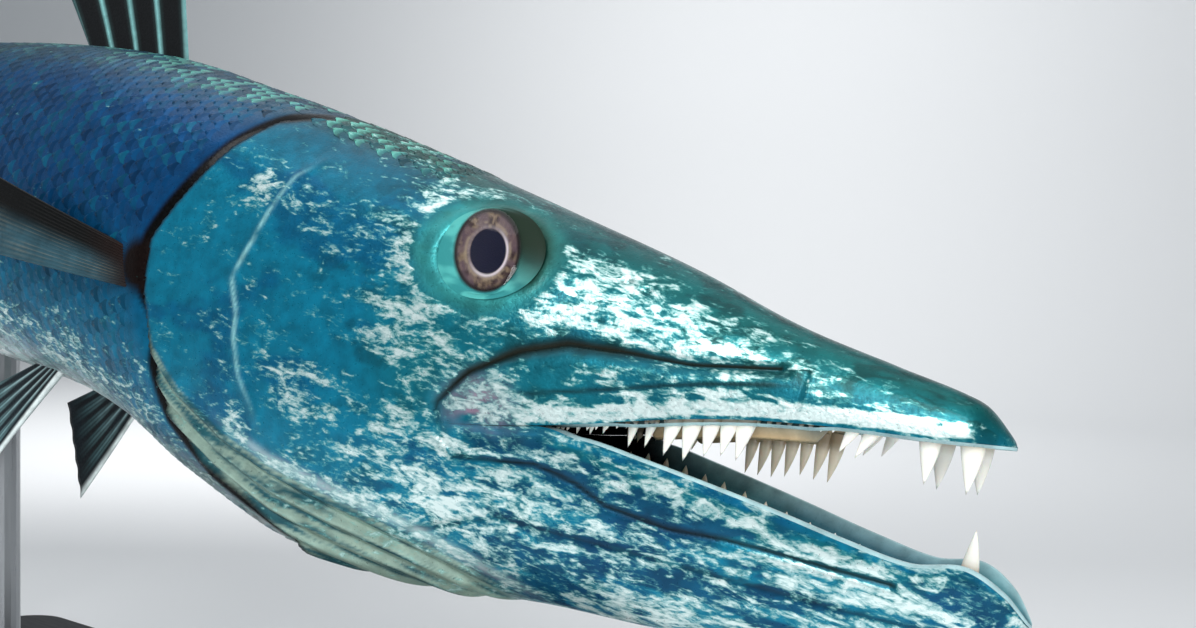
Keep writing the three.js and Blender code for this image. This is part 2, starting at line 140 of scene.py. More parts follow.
def swing(s):
    """The spine's turn at s: 3t²-2t³, less 0.55 of half a sine wave, which first swings it back."""
    t = np.clip((s - SWING_FROM) / (TAIL_BASE - SWING_FROM), 0, 1.4)
    full = np.minimum(t, 1)
    return TAIL_SWING * (t * t * (3 - 2 * full) - 0.55 * np.sin(np.pi * full))


SPINE_S = np.arange(0, TAIL_BASE + 255, 5.0)
SPINE_X = -np.concatenate([[0], np.cumsum(5 * np.cos(swing(SPINE_S[:-1] + 2.5)))])
SPINE_Y = np.concatenate([[0], np.cumsum(5 * np.sin(swing(SPINE_S[:-1] + 2.5)))])


def place(p):
    """Straight fish to posed fish: each station turns with the bent spine, then all rolls and pitches."""
    s, y, z = np.moveaxis(np.asarray(p, float), -1, 0)
    turn = swing(s)
    x = np.where(s > 0, np.interp(s, SPINE_S, SPINE_X), -s) + y * np.sin(turn)
    left = np.where(s > 0, np.interp(s, SPINE_S, SPINE_Y), 0) + y * np.cos(turn)
    y1 = left * np.cos(ROLL_AWAY) + z * np.sin(ROLL_AWAY)
    z1 = z * np.cos(ROLL_AWAY) - left * np.sin(ROLL_AWAY)
    x2 = x * np.cos(PITCH_DOWN) + z1 * np.sin(PITCH_DOWN)
    z2 = z1 * np.cos(PITCH_DOWN) - x * np.sin(PITCH_DOWN)
    return (np.stack([x2, y1, z2], -1) + SNOUT) * MM


def noise(p, seed=0):
    """Random numbers at the corners of unit cells, blended by 3t²-2t³ inside each cell, from 0 to 1."""
    cell = np.floor(p).astype(np.int64)
    t = p - cell
    t = t * t * (3 - 2 * t)
    total = 0
    for corner in itertools.product((0, 1), repeat=3):
        c = cell + corner
        h = (c[..., 0] * 73856093 ^ c[..., 1] * 19349663 ^ c[..., 2] * 83492791) + seed * 7919
        h = (h ^ (h >> 13)) * 1274126177 & 0x7FFFFFFF
        h = (h ^ (h >> 16)) & 0xFFFF
        total = total + h / 65535 * np.prod(np.where(corner, t, 1 - t), axis=-1)
    return total


def cloud(p, size, seed=0, octaves=4, stretch=(1, 1, 1)):
    """Noise over lengths of size millimetres, with noise of half the strength and length added in turn."""
    q = np.asarray(p) / (size * np.array(stretch))
    total = sum(0.5 ** k * noise(q * 2 ** k + 17 * k, seed + k) for k in range(octaves))
    return total / sum(0.5 ** k for k in range(octaves))


def from_line(line, s, z):
    """Distance to a line in the side view and the share along it. The distance is positive to the right of
    the line as it is walked from its first point, seen from the fish's right side."""
    line = np.array(line, float)
    best, sign, share = np.full(np.shape(s), 1e9), np.ones(np.shape(s)), np.zeros(np.shape(s))
    for i, (a, b) in enumerate(zip(line[:-1], line[1:])):
        run = b - a
        t = np.clip(((s - a[0]) * run[0] + (z - a[1]) * run[1]) / (run @ run), 0, 1)
        ds, dz = s - a[0] - t * run[0], z - a[1] - t * run[1]
        near = np.hypot(ds, dz)
        closer = near < best
        best = np.where(closer, near, best)
        sign = np.where(closer, np.sign(run[0] * dz - run[1] * ds), sign)
        share = np.where(closer, (i + t) / (len(line) - 1), share)
    return best * sign, share


# The skin's form

EYE = np.array([167, 34.5, 21])
EYE_RADIUS = 17
EYE_TILT = 0.36
EYE_FORWARD = 0.16
EYE_LENGTHENED = 1.16
NOSTRILS = ((119, 1.6), (112, 1.1))
SKIN_DEPTH = 0.3


def eye_axes(side):
    """The eye's outward, forward and upward directions as (s, y, z), with side 1 on the left, -1 on the
    right."""
    forward_sine, forward_cosine = np.sin(EYE_FORWARD), np.cos(EYE_FORWARD)
    up_sine, up_cosine = np.sin(EYE_TILT), np.cos(EYE_TILT)
    out = np.array([-forward_sine, side * forward_cosine * up_cosine, forward_cosine * up_sine])
    forward = np.array([-forward_cosine, -side * forward_sine * up_cosine, -forward_sine * up_sine])
    up = np.array([0, -side * up_sine, up_cosine])
    return out, forward, up


def mouth_share(s):
    """Where the line of the mouth runs round the section, from 0 at the back to 1 at the belly."""
    middle = WIDEST(s)
    rise = np.clip((UPPER_LIP(s) - middle) / (middle - BELLY(s)), -0.9, 0)
    return np.arccos(-np.abs(rise) ** (1 / 0.96)) / np.pi


def girth_point(s, v):
    """The body's section: y and z are powers of the sine and cosine of v times pi, reaching half its width,
    its back and its belly."""
    middle = WIDEST(s)
    sine, cosine = np.sin(v * np.pi), np.cos(v * np.pi)
    reach = np.where(cosine > 0, BACK(s) - middle, middle - BELLY(s))
    return HALF_WIDTH(s) * np.abs(sine) ** 0.92, middle + reach * np.sign(cosine) * np.abs(cosine) ** 0.96


def jaw_round(s, tip):
    """The jaw's tip as a quarter of an ellipse: the root of 1 - (1 - t)², with t from 0 to 1 over 13 mm."""
    t = np.clip((s - tip) / JAW_ROUND, 0, 1)
    return np.sqrt(1 - (1 - t) ** 2)


def plain_outer(s, u, lower):
    """The smooth outside. u runs from the back to the lip, or with lower from the lip to the belly. Ahead of
    the mouth's corner each jaw is a quarter round on its lip, and behind it both melt into the girth."""
    share = mouth_share(s)
    melt = ramp(126, MOUTH_END - 2, s)
    y1, z1 = girth_point(s, np.where(lower, share + u * (1 - share), u * share))
    a = np.where(lower, 1 - u, u) * np.pi / 2
    rounded = jaw_round(s, np.where(lower, LOWER_TIP, 0))
    width = np.where(lower, LOWER_WIDTH(s), HALF_WIDTH(s)) * rounded
    lip = lip_line(s, lower)
    ridge = np.where(lower, BELLY(s), BACK(s))
    y0 = width * np.sin(a) ** 0.85
    z0 = lip + (ridge - lip) * rounded * np.abs(np.cos(a)) ** 0.9
    return np.stack([s + 0 * u, y0 + (y1 - y0) * melt, z0 + (z1 - z0) * melt], -1)


def relief(p):
    """How far the skin stands out, in millimetres: the jaws' grooves, the upper jaw's plate, the ridge of the
    cheek, the gill opening's step, the folds under the throat, and the eye's socket and rim."""
    s, y, z = np.moveaxis(p, -1, 0)
    groove, _ = from_line(MAXILLA_GROOVE, s, z)
    jaw, along = from_line(JAW_GROOVE, s, z)
    low_jaw, _ = from_line(JAW_LOWER_GROOVE, s, z)
    cheek, _ = from_line(PREOPERCLE, s, z)
    gill, _ = from_line(GILL_MARGIN, s, z)
    ahead = gill < 0
    plate = ramp(0, 5, -groove) * (groove < 0) * (s > 55) * (s < 170) * (z > LOWER_LIP(s))
    out = 0.9 * plate + 0.5 * bump(cheek, 2.4) - 1.3 * bump(groove, 1.5)
    out = out - 0.9 * bump(jaw, 1.1) * (along > 0.02) - 0.5 * bump(low_jaw, 1.2)
    step = np.where(ahead, 1.6 * ramp(0, 1, 1 + gill / 22), -3.4 * bump(gill, 5))
    out = out + step * ramp(9, 20, y) * ramp(-113, -100, z)
    throat, _ = from_line(THROAT_FOLD, s, z)
    fold_zone = ahead * ramp(0, 3, throat) * ramp(130, 165, s)
    out = out + fold_zone * np.sin(2 * np.pi * throat / (5.5 + 2 * ramp(290, 190, s)))
    _, forward, up = eye_axes(1)
    away = p - EYE
    reach = np.hypot((away @ forward) / EYE_LENGTHENED, away @ up)
    socket = 0.5 * bump(reach - 18.6, 2) + 0.4 * bump(reach - 25, 4) - 7.5 * ramp(16.2, 13.6, reach)
    out = out + socket * (np.abs(s - EYE[0]) < 40)
    for nostril, size in NOSTRILS:
        out = out - 1.3 * bump(np.hypot(s - nostril, (z - BACK(nostril) + 13) / 0.7), size)
    return out + 0.35 * (cloud(p, 26, 5, 3) - 0.5)


def outer(s, u, lower):
    """The skin's outside with its relief, moved along the smooth form's own normal. Arrays of one shape in,
    points and normals out, on the left side."""
    p = plain_outer(s, u, lower)
    along = plain_outer(s + 0.6, u, lower) - plain_outer(s - 0.6, u, lower)
    du = np.where(u > 0.5, -0.004, 0.004)
    across = (plain_outer(s, u + du, lower) - p) * np.sign(du)[..., None]
    normal = np.cross(along, across)
    length = np.linalg.norm(normal, axis=-1, keepdims=True)
    normal = normal / np.maximum(length, 1e-9)
    lip = np.where(lower, LOWER_LIP(s), UPPER_LIP(s))
    centre = np.stack([s, 0 * s, np.where(s < MOUTH_END, lip, (BACK(s) + BELLY(s)) / 2)], -1)
    normal = normal * np.where(((p - centre) * normal).sum(-1) < 0, -1, 1)[..., None]
    fade = ramp(0, 6, s - np.where(lower, LOWER_TIP, 0))
    q = p + normal * (relief(p) * fade - SKIN_DEPTH)[..., None]
    q[..., 1] = np.where(p[..., 1] < 1e-6, 0, np.maximum(q[..., 1], 0))
    return q, normal


def lining(s, t, lower):
    """The mouth's inside from the lip, t = 0, to the middle of the roof or floor, t = 1: a rounded lip, then
    an arch by the root of 1 - (1 - t)² that flattens to nothing at the mouth's corner, and on the roof a
    ridge that carries the large teeth."""
    rounded = jaw_round(s, np.where(lower, LOWER_TIP, 0))
    edge, _ = outer(s, np.where(lower, 0.0, 1.0) + 0 * s, lower)
    width = edge[..., 1]
    wall = np.minimum(LIP_THICKNESS, width * 0.4)
    ridge = np.where(lower, BELLY(s), BACK(s))
    lip = edge[..., 2]
    arch = 0.42 * (ridge - lip) * rounded * ramp(MOUTH_END, 146, s)
    on_lip = np.minimum(t / 0.25, 1)
    inward = np.clip((t - 0.25) / 0.75, 0, 1)
    y = np.where(t < 0.25, width - wall * on_lip, (width - wall) * (1 - inward))
    bead = np.sin(np.pi * on_lip) * np.where(lower, 1, -1) * 0.9 * ramp(133, 120, s)
    z = lip + bead + arch * np.sqrt(np.clip(1 - (1 - inward) ** 2, 0, 1))
    palate = np.where(lower, 0, 1) * ramp(44, 52, s) * ramp(112, 98, s)
    z = z - palate * (arch * 0.75 + 5) * bump(inward - 0.27, 0.16)
    return np.stack([s + 0 * t, y, z], -1)


# Markings, the same for skin and scales

# Round silver patches on the gill cover, as s, z and size.
COVER_PATCHES = ((242, -26, 6), (253, -61, 8), (225, -65, 10), (283, 8, 6), (268, 26, 7), (208, -52, 9))


def linear(hex_colour):
    """An sRGB colour such as 2f7f9c as linear red, green and blue."""
    c = np.array([int(hex_colour[i:i + 2], 16) for i in (0, 2, 4)]) / 255
    return np.where(c > 0.04045, ((c + 0.055) / 1.055) ** 2.4, c / 12.92)


def paint(colour, *layers):
    """Lays colours over the first one in turn, each with the share of it that shows, from 0 to 1. A colour is
    a hex value or linear red, green and blue."""
    colour = linear(colour) if isinstance(colour, str) else colour
    for over, share in layers:
        over = linear(over) if isinstance(over, str) else over
        colour = colour + (over - colour) * np.asarray(share)[..., None]
    return colour


def palette():
    """The panel's colours as arrays: back, flank, cover, belly and groove."""
    colours = bpy.context.scene.barracuda_colours
    return [np.array(getattr(colours, name)) for name in ("back", "flank", "cover", "belly", "groove")]


def trunk_colour(p, v, height, paler):
    """Green-black along the back, deep blue, then teal, and grey-white below. Dark bars, a cosine wave every
    34 mm, cross the upper side, and blotches lie along the lower side towards the tail."""
    back, flank, teal, belly, dark = palette()
    s = p[..., 0]
    bars = 0.5 + 0.5 * np.cos(2 * np.pi * s / 34)
    blotches = ramp(0.6, 0.66, cloud(p, 30, 9, 2)) * ramp(560, 680, s)
    return paint(
        back, (flank, 0.45), (flank, ramp(0.13, 0.3, height)),
        (paint(teal, (flank, 0.4)), ramp(0.45, 0.66, height)), (belly, ramp(0.74, 0.92, height + paler)),
        (back, 0.5 * bars * ramp(0.46, 0.34, height) * ramp(430, 540, s)),
        (dark, 0.85 * blotches * ramp(0.46, 0.54, v) * ramp(0.82, 0.74, v)))


def head_colour(s, height, clouds, jaw):
    """Green-black above, then deep teal and lighter teal, greener ahead of the eye, with dark pores along the
    top of the snout and dark streaks on the lower jaw."""
    back, flank, teal, _, dark = palette()
    streak, fleck, long_streak = clouds
    deep = paint(teal, (back, 0.6), (flank, 0.25))
    return paint(
        back, (deep, ramp(0.1, 0.2, height)), (teal, ramp(0.16, 0.36, height)),
        (flank, 0.5 * ramp(0.47, 0.6, streak) * ramp(0.2, 0.3, height)),
        (deep, 0.8 * ramp(0.53, 0.6, fleck) * ramp(250, 200, s)),
        ("0d6a60", 0.55 * ramp(130, 60, s) * ramp(0.5, 0.2, height)),
        ("0f5f63", 0.6 * ramp(215, 175, s) * ramp(0.62, 0.5, height)),
        ("0a2a22", 0.55 * ramp(0.5, 0.62, fleck) * ramp(0.42, 0.25, height) * ramp(230, 190, s)),
        (paint(flank, (dark, 0.35)), 0.7 * jaw * ramp(0.5, 0.42, long_streak)))


def head_silver(p, v, height, clouds, jaw):
    """Silver of the head: broken over the face, cheek and nape, in round patches on the gill cover, in long
    streaks on the lower jaw, clean along the upper lip, and broad at the mouth's corner."""
    s, _, z = np.moveaxis(p, -1, 0)
    streak, fleck, long_streak = clouds
    groove, _ = from_line(MAXILLA_GROOVE, s, z)
    plate = (groove < 0) * ramp(172, 160, s) * ramp(50, 64, s)
    face = 0.56 * ramp(222, 180, s) * ramp(0.05, 0.14, height) * ramp(30, 96, s) * (1 - 0.5 * plate)
    cheek = 0.4 * ramp(268, 215, s) * ramp(0.44, 0.56, v) * ramp(0.95, 0.85, v)
    nape = 0.14 * bump(v - 0.13, 0.05) * ramp(185, 200, s)
    patches = sum(bump(np.hypot(s - a, (z - b) / 1.3), size) for a, b, size in COVER_PATCHES)
    silver = np.maximum.reduce([face, cheek, nape, 0.55 * np.clip(patches, 0, 1)])
    silver = silver + (1.3 * (streak - 0.5) + 0.9 * (fleck - 0.5)) * ramp(0.02, 0.3, silver)
    silver = np.minimum(silver, 0.62) * (1 - jaw) + jaw * (0.54 + 1.5 * (long_streak - 0.5))
    above_lip = z - UPPER_LIP(s)
    on_upper = ramp(150, 128, s) * (1 - jaw)
    lip = ramp(0.5, 1.6, above_lip) * ramp(6.6, 4.4, above_lip) * ramp(5, 16, s) * on_upper
    silver = silver * (1 - lip) + 1.2 * lip
    thin_streaks = cloud(p, 3, 45, 2, (9, 1, 0.5)) - 0.45
    silver = silver + 1.8 * thin_streaks * bump(above_lip - 8, 2.2) * ramp(30, 50, s) * on_upper
    lip_edge = ramp(0.8, 0.1, above_lip) * (1 - jaw) * ramp(140, 120, s)
    silver = silver * (1 - lip_edge) + 0.35 * lip_edge
    corner = bump(np.hypot((s - 146) / 1.5, z + 28), 12) * (1 - jaw)
    return np.maximum(silver, 0.85 * corner + 1.2 * (streak - 0.5))


def dark_lines(s, z, jaw):
    """How strongly the dark lines show: the olive groove over the upper jaw, thickest in its middle, the
    lower jaw's two grooves, and a fold over the lip."""
    groove, around = from_line(MAXILLA_GROOVE, s, z)
    thick = 0.8 + 2.0 * bump(s - 134, 26)
    over_jaw = bump(groove - 0.3 * thick, thick) * ramp(0.95, 0.66, around)
    upper = 0.85 * bump(from_line(JAW_GROOVE, s, z)[0], 0.9)
    lower = 0.5 * bump(from_line(JAW_LOWER_GROOVE, s, z)[0], 0.8)
    fold = bump(z - UPPER_LIP(s) - 10.5, 0.8) * ramp(50, 70, s) * ramp(150, 130, s) * (1 - jaw)
    return np.maximum.reduce([over_jaw, upper, lower, 0.7 * fold])


def gill_markings(p, gill, colour, silver):
    """The cheek's pale ridge, the throat's membrane in grey-green streaks under a pale line, painted shade in
    the slit behind the gill cover, near black turning to the gills' dark red, and painted shade in the dark
    hollow at the pectoral fin's root."""
    s, y, z = np.moveaxis(p, -1, 0)
    cheek, share = from_line(PREOPERCLE, s, z)
    broken = ramp(0.15, 0.45, cloud(p, 7, 77, 3))
    ridge = bump(cheek, 0.9) * ramp(0, 0.25, share) * ramp(1, 0.8, share) * ramp(2, -2, gill) * broken
    throat, along = from_line(THROAT_FOLD, s, z)
    pale_line = bump(throat + 3, 2) * (gill < -6) * ramp(270, 230, s) * ramp(120, 150, s)
    membrane = (gill < 0) * ramp(-0.8, 0.8, throat) * ramp(126, 150, s)
    grain = cloud(np.stack([along * 12, throat / 2, 0 * throat], -1), 1, 83, 3)
    # Painted shade: the slit behind the gill cover is near black, turning to the gills' dark red towards its
    # back.
    slit_end = 8.5 - 5 * bump(z + 36, 9)
    slit = ramp(-2.6, 0.4, gill) * ramp(slit_end, slit_end - 2.5, gill) * ramp(9, 20, y) * ramp(-108, -98, z)
    # Painted shade: a dark brown-black patch in the hollow at the pectoral fin's root.
    hollow = ramp(14, 7, np.hypot(s - 315, z + 13)) * (gill > 0)
    colour = paint(
        colour, ("a4e2e4", 0.8 * ridge), ("e2f2ee", 0.5 * pale_line),
        (paint("2f5c60", ("a3bba8", ramp(0.36, 0.6, grain))), 0.85 * membrane),
        (paint("020203", ("1c0906", ramp(5.5, 9, gill))), slit), ("120705", hollow))
    return colour, silver * (1 - 0.7 * membrane), slit


def eye_surround(p, colour, silver):
    """Teal skin round the eye without silver, in shadow above and ahead of it."""
    _, forward, up = eye_axes(1)
    away = p - EYE
    f, g = away @ forward, away @ up
    reach = np.hypot((f + 3 * ramp(0, -20, f)) / EYE_LENGTHENED, g) + 90 * (np.abs(away[..., 0]) > 45)
    colour = paint(colour, ("358e8c", 0.75 * ramp(26, 18, reach)),
                   ("13301f", 0.9 * bump(reach - EYE_RADIUS, 4) * ramp(0, 14, f + g)))
    return colour, silver * ramp(20, 25, reach) - 0.6 * ramp(23, 20, reach)


def markings(p, v):
    """Colour and silver of the skin at p, with v from 0 at the back to 1 at the belly. Silver is how much of
    the mirror-like layer shows. Blotches are clouds of noise, in a space bent by noise, cut off sharply."""
    s, _, z = np.moveaxis(p, -1, 0)
    bent = p + 9 * np.stack([cloud(p, 15, seed, 2) - 0.5 for seed in (2, 3, 4)], -1)
    clouds = (cloud(bent, 15, 21, 5, (2.2, 1, 0.8)), cloud(bent, 5, 31, 4, (1.9, 1, 0.8)),
              cloud(bent, 9, 41, 5, (4.5, 1, 0.6)))
    streak, fleck, _ = clouds
    height = v + 0.05 * (cloud(p, 30, 1) - 0.5)
    lip_rise = (z - UPPER_LIP(s)) / (BACK(s) - UPPER_LIP(s))
    on_snout = ramp(185, 150, s) * (v < mouth_share(s) + 0.01)
    head_height = height + (0.56 * (1 - lip_rise) - v) * on_snout
    jaw = ramp(mouth_share(s) - 0.01, mouth_share(s) + 0.03, v) * ramp(215, 170, s)
    rose = bump(np.hypot(s - 152, (z + 29) * 1.5), 10) * ramp(0.35, 0.5, streak)
    head = paint(head_colour(s, head_height, clouds, jaw), ("c98fa4", 0.8 * rose))
    bright = head_silver(p, v, head_height, clouds, jaw) * (1 - 0.5 * rose)
    gill, _ = from_line(GILL_MARGIN, s, z)
    behind = ramp(-2, 2, gill)
    paler = 0.17 * ramp(400, 560, s)
    pale = 0.8 * ramp(0.54, 0.76, v + paler) + 1.6 * (fleck - 0.5) - 0.4
    lines = dark_lines(s, z, jaw)
    colour = paint(head, (trunk_colour(p, v, height, paler), behind), (palette()[-1], lines))
    colour, silver, slit = gill_markings(p, gill, colour, bright * (1 - behind) + pale * behind)
    colour, silver = eye_surround(p, colour, silver)
    lines = np.maximum(lines, slit)
    return colour, np.clip(silver * (1 - lines) - 0.3 * lines, -1, 1)


# Meshes and materials

WELD_WITHIN = 2e-6


def mesh_object(name, blocks, materials, weld=True):
    """Joins blocks into one smooth object. Each block is a grid of points in metres, or several, with a
    colour and a silver value at each, and flip where its faces would look inward. Corners within 2 microns
    are welded, a face with two corners in one becomes a triangle, and one with fewer is left out."""
    parts = []
    start = 0
    for block in blocks:
        grid = block["points"]
        rows, columns = grid.shape[-3:-1]
        index = np.arange(rows * columns).reshape(rows, columns)
        corners = (index[:-1, :-1], index[:-1, 1:], index[1:, 1:], index[1:, :-1])
        order = [0, 3, 2, 1] if block.get("flip") else [0, 1, 2, 3]
        quad = np.stack(corners, -1).reshape(-1, 4)[:, order]
        offset = np.arange(start, start + grid.size // 3, rows * columns)
        quads = (quad + offset[:, None, None]).reshape(-1, 4)
        colour = np.broadcast_to(block.get("colour", np.ones(3)), grid.shape)
        silver = np.broadcast_to(block.get("silver", -1.0), grid.shape[:-1])
        uv = np.broadcast_to(block.get("uv", np.zeros(2)), grid.shape[:-1] + (2,))
        parts.append((grid.reshape(-1, 3), quads, colour.reshape(-1, 3), silver.reshape(-1),
                      uv.reshape(-1, 2), np.full(len(quads), block.get("slot", 0))))
        start += grid.size // 3
    points, source, colours, silvers, uvs, slots = map(np.concatenate, zip(*parts))
    quads = source
    if weld:
        key = np.round(points / WELD_WITHIN).astype(np.int64)
        _, first, merged = np.unique(key, axis=0, return_index=True, return_inverse=True)
        quads = merged.reshape(-1)[source]
        points, colours, silvers = points[first], colours[first], silvers[first]
    same = quads == np.roll(quads, -1, axis=1)
    whole = ~same.any(1)
    bent = same.sum(1) == 1
    keep = ~same[bent]
    triangles = quads[bent][keep].reshape(-1, 3)
    triangle_source = source[bent][keep].reshape(-1, 3)
    loops = np.concatenate([quads[whole].reshape(-1), triangles.reshape(-1)])
    loop_source = np.concatenate([source[whole].reshape(-1), triangle_source.reshape(-1)])
    sizes = np.concatenate([np.full(whole.sum(), 4), np.full(len(triangles), 3)])
    mesh = bpy.data.meshes.new(name)
    mesh.vertices.add(len(points))
    mesh.vertices.foreach_set("co", points.astype(np.float32).reshape(-1))
    mesh.loops.add(len(loops))
    mesh.loops.foreach_set("vertex_index", loops.astype(np.int32))
    mesh.polygons.add(len(sizes))
    mesh.polygons.foreach_set("loop_start", (np.cumsum(sizes) - sizes).astype(np.int32))
    mesh.polygons.foreach_set("material_index", np.concatenate([slots[whole], slots[bent]]).astype(np.int32))
    mesh.update(calc_edges=True)
    uv = mesh.uv_layers.new(name="OFBake")
    uv.data.foreach_set("uv", uvs[loop_source].astype(np.float32).reshape(-1))
    tint = mesh.attributes.new("tint", "FLOAT_COLOR", "POINT")
    rgba = np.concatenate([np.clip(colours, 0, 1), np.ones((len(colours), 1))], 1)
    tint.data.foreach_set("color", rgba.astype(np.float32).reshape(-1))
    shine = mesh.attributes.new("silver", "FLOAT", "POINT")
    shine.data.foreach_set("value", silvers.astype(np.float32))
    mesh.validate()
    mesh.shade_smooth()
    for material in materials:
        mesh.materials.append(material)
    piece = bpy.data.objects.new(name, mesh)
    bpy.context.scene.collection.objects.link(piece)
    return piece


def unwrap(s, v, side):
    """The skin's own unwrap: along the fish and round its section."""
    return np.stack([0.02 + (s + 20) / 1400, 0.5 + side * 0.46 * v], -1)


def add(tree, kind, settings=None, links=None):
    """Adds a node, sets its inputs or properties, and links its inputs to other nodes' outputs."""
    node = tree.nodes.new(kind)
    for key, value in (settings or {}).items():
        if isinstance(key, str) and hasattr(node, key) and key not in node.inputs:
            setattr(node, key, value)
        else:
            node.inputs[key].default_value = value
    for key, (other, output) in (links or {}).items():
        tree.links.new(other.outputs[output], node.inputs[key])
    return node


def cells(size):
    """Noise scale, in cells per metre, for a pattern of this size in millimetres."""
    return 1 / (size * MM)


def new_material(name, settings):
    """A material with one Principled surface, its node tree and that surface."""
    material = bpy.data.materials.new(name)
    material.use_nodes = True
    tree = material.node_tree
    surface = tree.nodes["Principled BSDF"]
    for key, value in settings.items():
        surface.inputs[key].default_value = value
    return material, tree, surface


def skin_material(name, roughness, metallic, bump_depth, coat=0.08):
    """Wet fish skin: pigment over a mirror-like layer of guanine crystals, under clear slime. To the eye it
    is a dark blue-green that breaks into white glints. The silver value sets how much of the layer shows,
    and two sizes of noise, 6 and 1.6 mm, drawn out along the fish, tear its edges. A finer noise of 1.1 mm
    roughens the surface."""
    material, tree, surface = new_material(name, {
        "Coat Weight": coat, "Coat Roughness": 0.08, "IOR": 1.36, "Specular IOR Level": 0.3})
    tint = add(tree, "ShaderNodeAttribute", {"attribute_name": "tint"})
    field = add(tree, "ShaderNodeAttribute", {"attribute_name": "silver"})
    space = add(tree, "ShaderNodeTexCoord")
    along_fish = add(tree, "ShaderNodeMapping",
                     {"vector_type": "TEXTURE", "Rotation": (0, PITCH_DOWN, 0), "Scale": (2.2, 1, 0.85)},
                     {"Vector": (space, "Object")})
    mottle = add(tree, "ShaderNodeTexNoise",
                 {"Scale": cells(6), "Detail": 5.0, "Roughness": 0.6, "Distortion": 1.1},
                 {"Vector": (along_fish, "Vector")})
    speck = add(tree, "ShaderNodeTexNoise",
                {"Scale": cells(1.6), "Detail": 4.0, "Roughness": 0.6, "Distortion": 0.4},
                {"Vector": (along_fish, "Vector")})
    torn = add(tree, "ShaderNodeMath", {"operation": "MULTIPLY_ADD", 1: 2.3, 2: -1.15}, {0: (mottle, "Fac")})
    frayed = add(tree, "ShaderNodeMath", {"operation": "MULTIPLY_ADD", 1: 1.7, 2: -0.85}, {0: (speck, "Fac")})
    loose = add(tree, "ShaderNodeMath", {"operation": "ADD"}, {0: (torn, "Value"), 1: (frayed, "Value")})
    total = add(tree, "ShaderNodeMath", {"operation": "ADD"}, {0: (field, "Fac"), 1: (loose, "Value")})
    haze = add(tree, "ShaderNodeMapRange", {"From Min": 0.25, "From Max": 0.6, "To Max": 0.5},
               {"Value": (total, "Value")})
    silver = add(tree, "ShaderNodeMapRange", {"From Min": 0.45, "From Max": 0.95, "To Max": 0.95},
                 {"Value": (total, "Value")})
    place_in_fish = {"Vector": (space, "Object")}
    fine = add(tree, "ShaderNodeTexNoise", {"Scale": cells(1.1), "Detail": 3.0}, place_in_fish)
    broad = add(tree, "ShaderNodeTexNoise", {"Scale": cells(6), "Detail": 4.0}, place_in_fish)
    shade = add(tree, "ShaderNodeMapRange", {"From Min": 0.3, "From Max": 0.7, "To Min": 0.76, "To Max": 1.2},
                {"Value": (broad, "Fac")})
    colour = add(tree, "ShaderNodeVectorMath", {"operation": "SCALE"},
                 {0: (tint, "Color"), "Scale": (shade, "Result")})
    pale = add(tree, "ShaderNodeMix", {"data_type": "RGBA", 7: (*linear("66bdb8"), 1)},
               {"Factor": (haze, "Result"), 6: (colour, "Vector")})
    white = (*bpy.context.scene.barracuda_colours.silver, 1)
    bright = add(tree, "ShaderNodeMix", {"data_type": "RGBA", 7: white},
                 {"Factor": (silver, "Result"), 6: (pale, 2)})
    metal = add(tree, "ShaderNodeMapRange", {"To Min": metallic, "To Max": min(1, metallic + 0.2)},
                {"Value": (silver, "Result")})
    rough = add(tree, "ShaderNodeMapRange",
                {"From Min": 0.3, "From Max": 0.7, "To Min": roughness - 0.08, "To Max": roughness + 0.12},
                {"Value": (fine, "Fac")})
    height = add(tree, "ShaderNodeMath", {"operation": "ADD"}, {0: (fine, "Fac"), 1: (broad, "Fac")})
    bumps = add(tree, "ShaderNodeBump", {"Strength": 0.3, "Distance": bump_depth},
                {"Height": (height, "Value")})
    tree.links.new(bright.outputs[2], surface.inputs["Base Color"])
    tree.links.new(metal.outputs["Result"], surface.inputs["Metallic"])
    tree.links.new(rough.outputs["Result"], surface.inputs["Roughness"])
    tree.links.new(bumps.outputs["Normal"], surface.inputs["Normal"])
    return material


def finish_piece(piece, slot, *nodes):
    """Hangs the piece on the root body and hides the solids that it takes the place of. Its slot is not used.
    """
    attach(piece, "root")
    if nodes:
        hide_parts(*nodes)


def both_sides(p):
    """A left-side grid and its mirror image, each with whether its faces are turned round."""
    return ((1, p, False), (-1, p * np.array([1, -1, 1]), True))


# Sizes and colours


def colour_property(name, description, hex_colour):
    """A colour in the panel, from its sRGB value."""
    return FloatVectorProperty(name=name, description=description, subtype="COLOR", size=3, min=0, max=1,
                               default=tuple(linear(hex_colour)))


class BarracudaColours(bpy.types.PropertyGroup):
    """Colours of the skin"""
    back: colour_property("Back", "Dark green-black along the back", "0a4240")
    flank: colour_property("Flank", "Deep blue of the upper side", "004272")
    cover: colour_property("Cover", "Blue-teal of the gill cover and lower side", "0a7491")
    silver: colour_property("Silver", "White-silver blotches of the cheeks and jaws", "e4f6f4")
    belly: colour_property("Belly", "Belly's pale grey-white", "dfeaea")
    groove: colour_property("Groove", "Dark olive lines and blotches", "15160a")


class BarracudaSkin(bpy.types.PropertyGroup):
    """How finely the skin is divided"""
    head_stations: IntProperty(name="Head stations", description="Rings from snout to gill opening",
                               default=330, min=40, max=500)
    trunk_stations: IntProperty(name="Trunk stations", description="Rings behind the head",
                                default=150, min=30, max=400)
    rows: IntProperty(name="Rows", description="Points from back to lip, and again from lip to belly",
                      default=104, min=16, max=160)


class BarracudaScales(bpy.types.PropertyGroup):
    """Size and lift of the scales"""
    rows: IntProperty(name="Rows", description="Rows of scales on one side", default=40, min=12, max=60)
    length_share: FloatProperty(name="Length", description="A scale's spacing along the fish over its "
                                "spacing across it", default=1.15, min=0.8, max=2)
    lift: FloatProperty(name="Lift", description="How far the free edge stands up", default=0.00035,
                        min=0, max=0.002, unit="LENGTH")


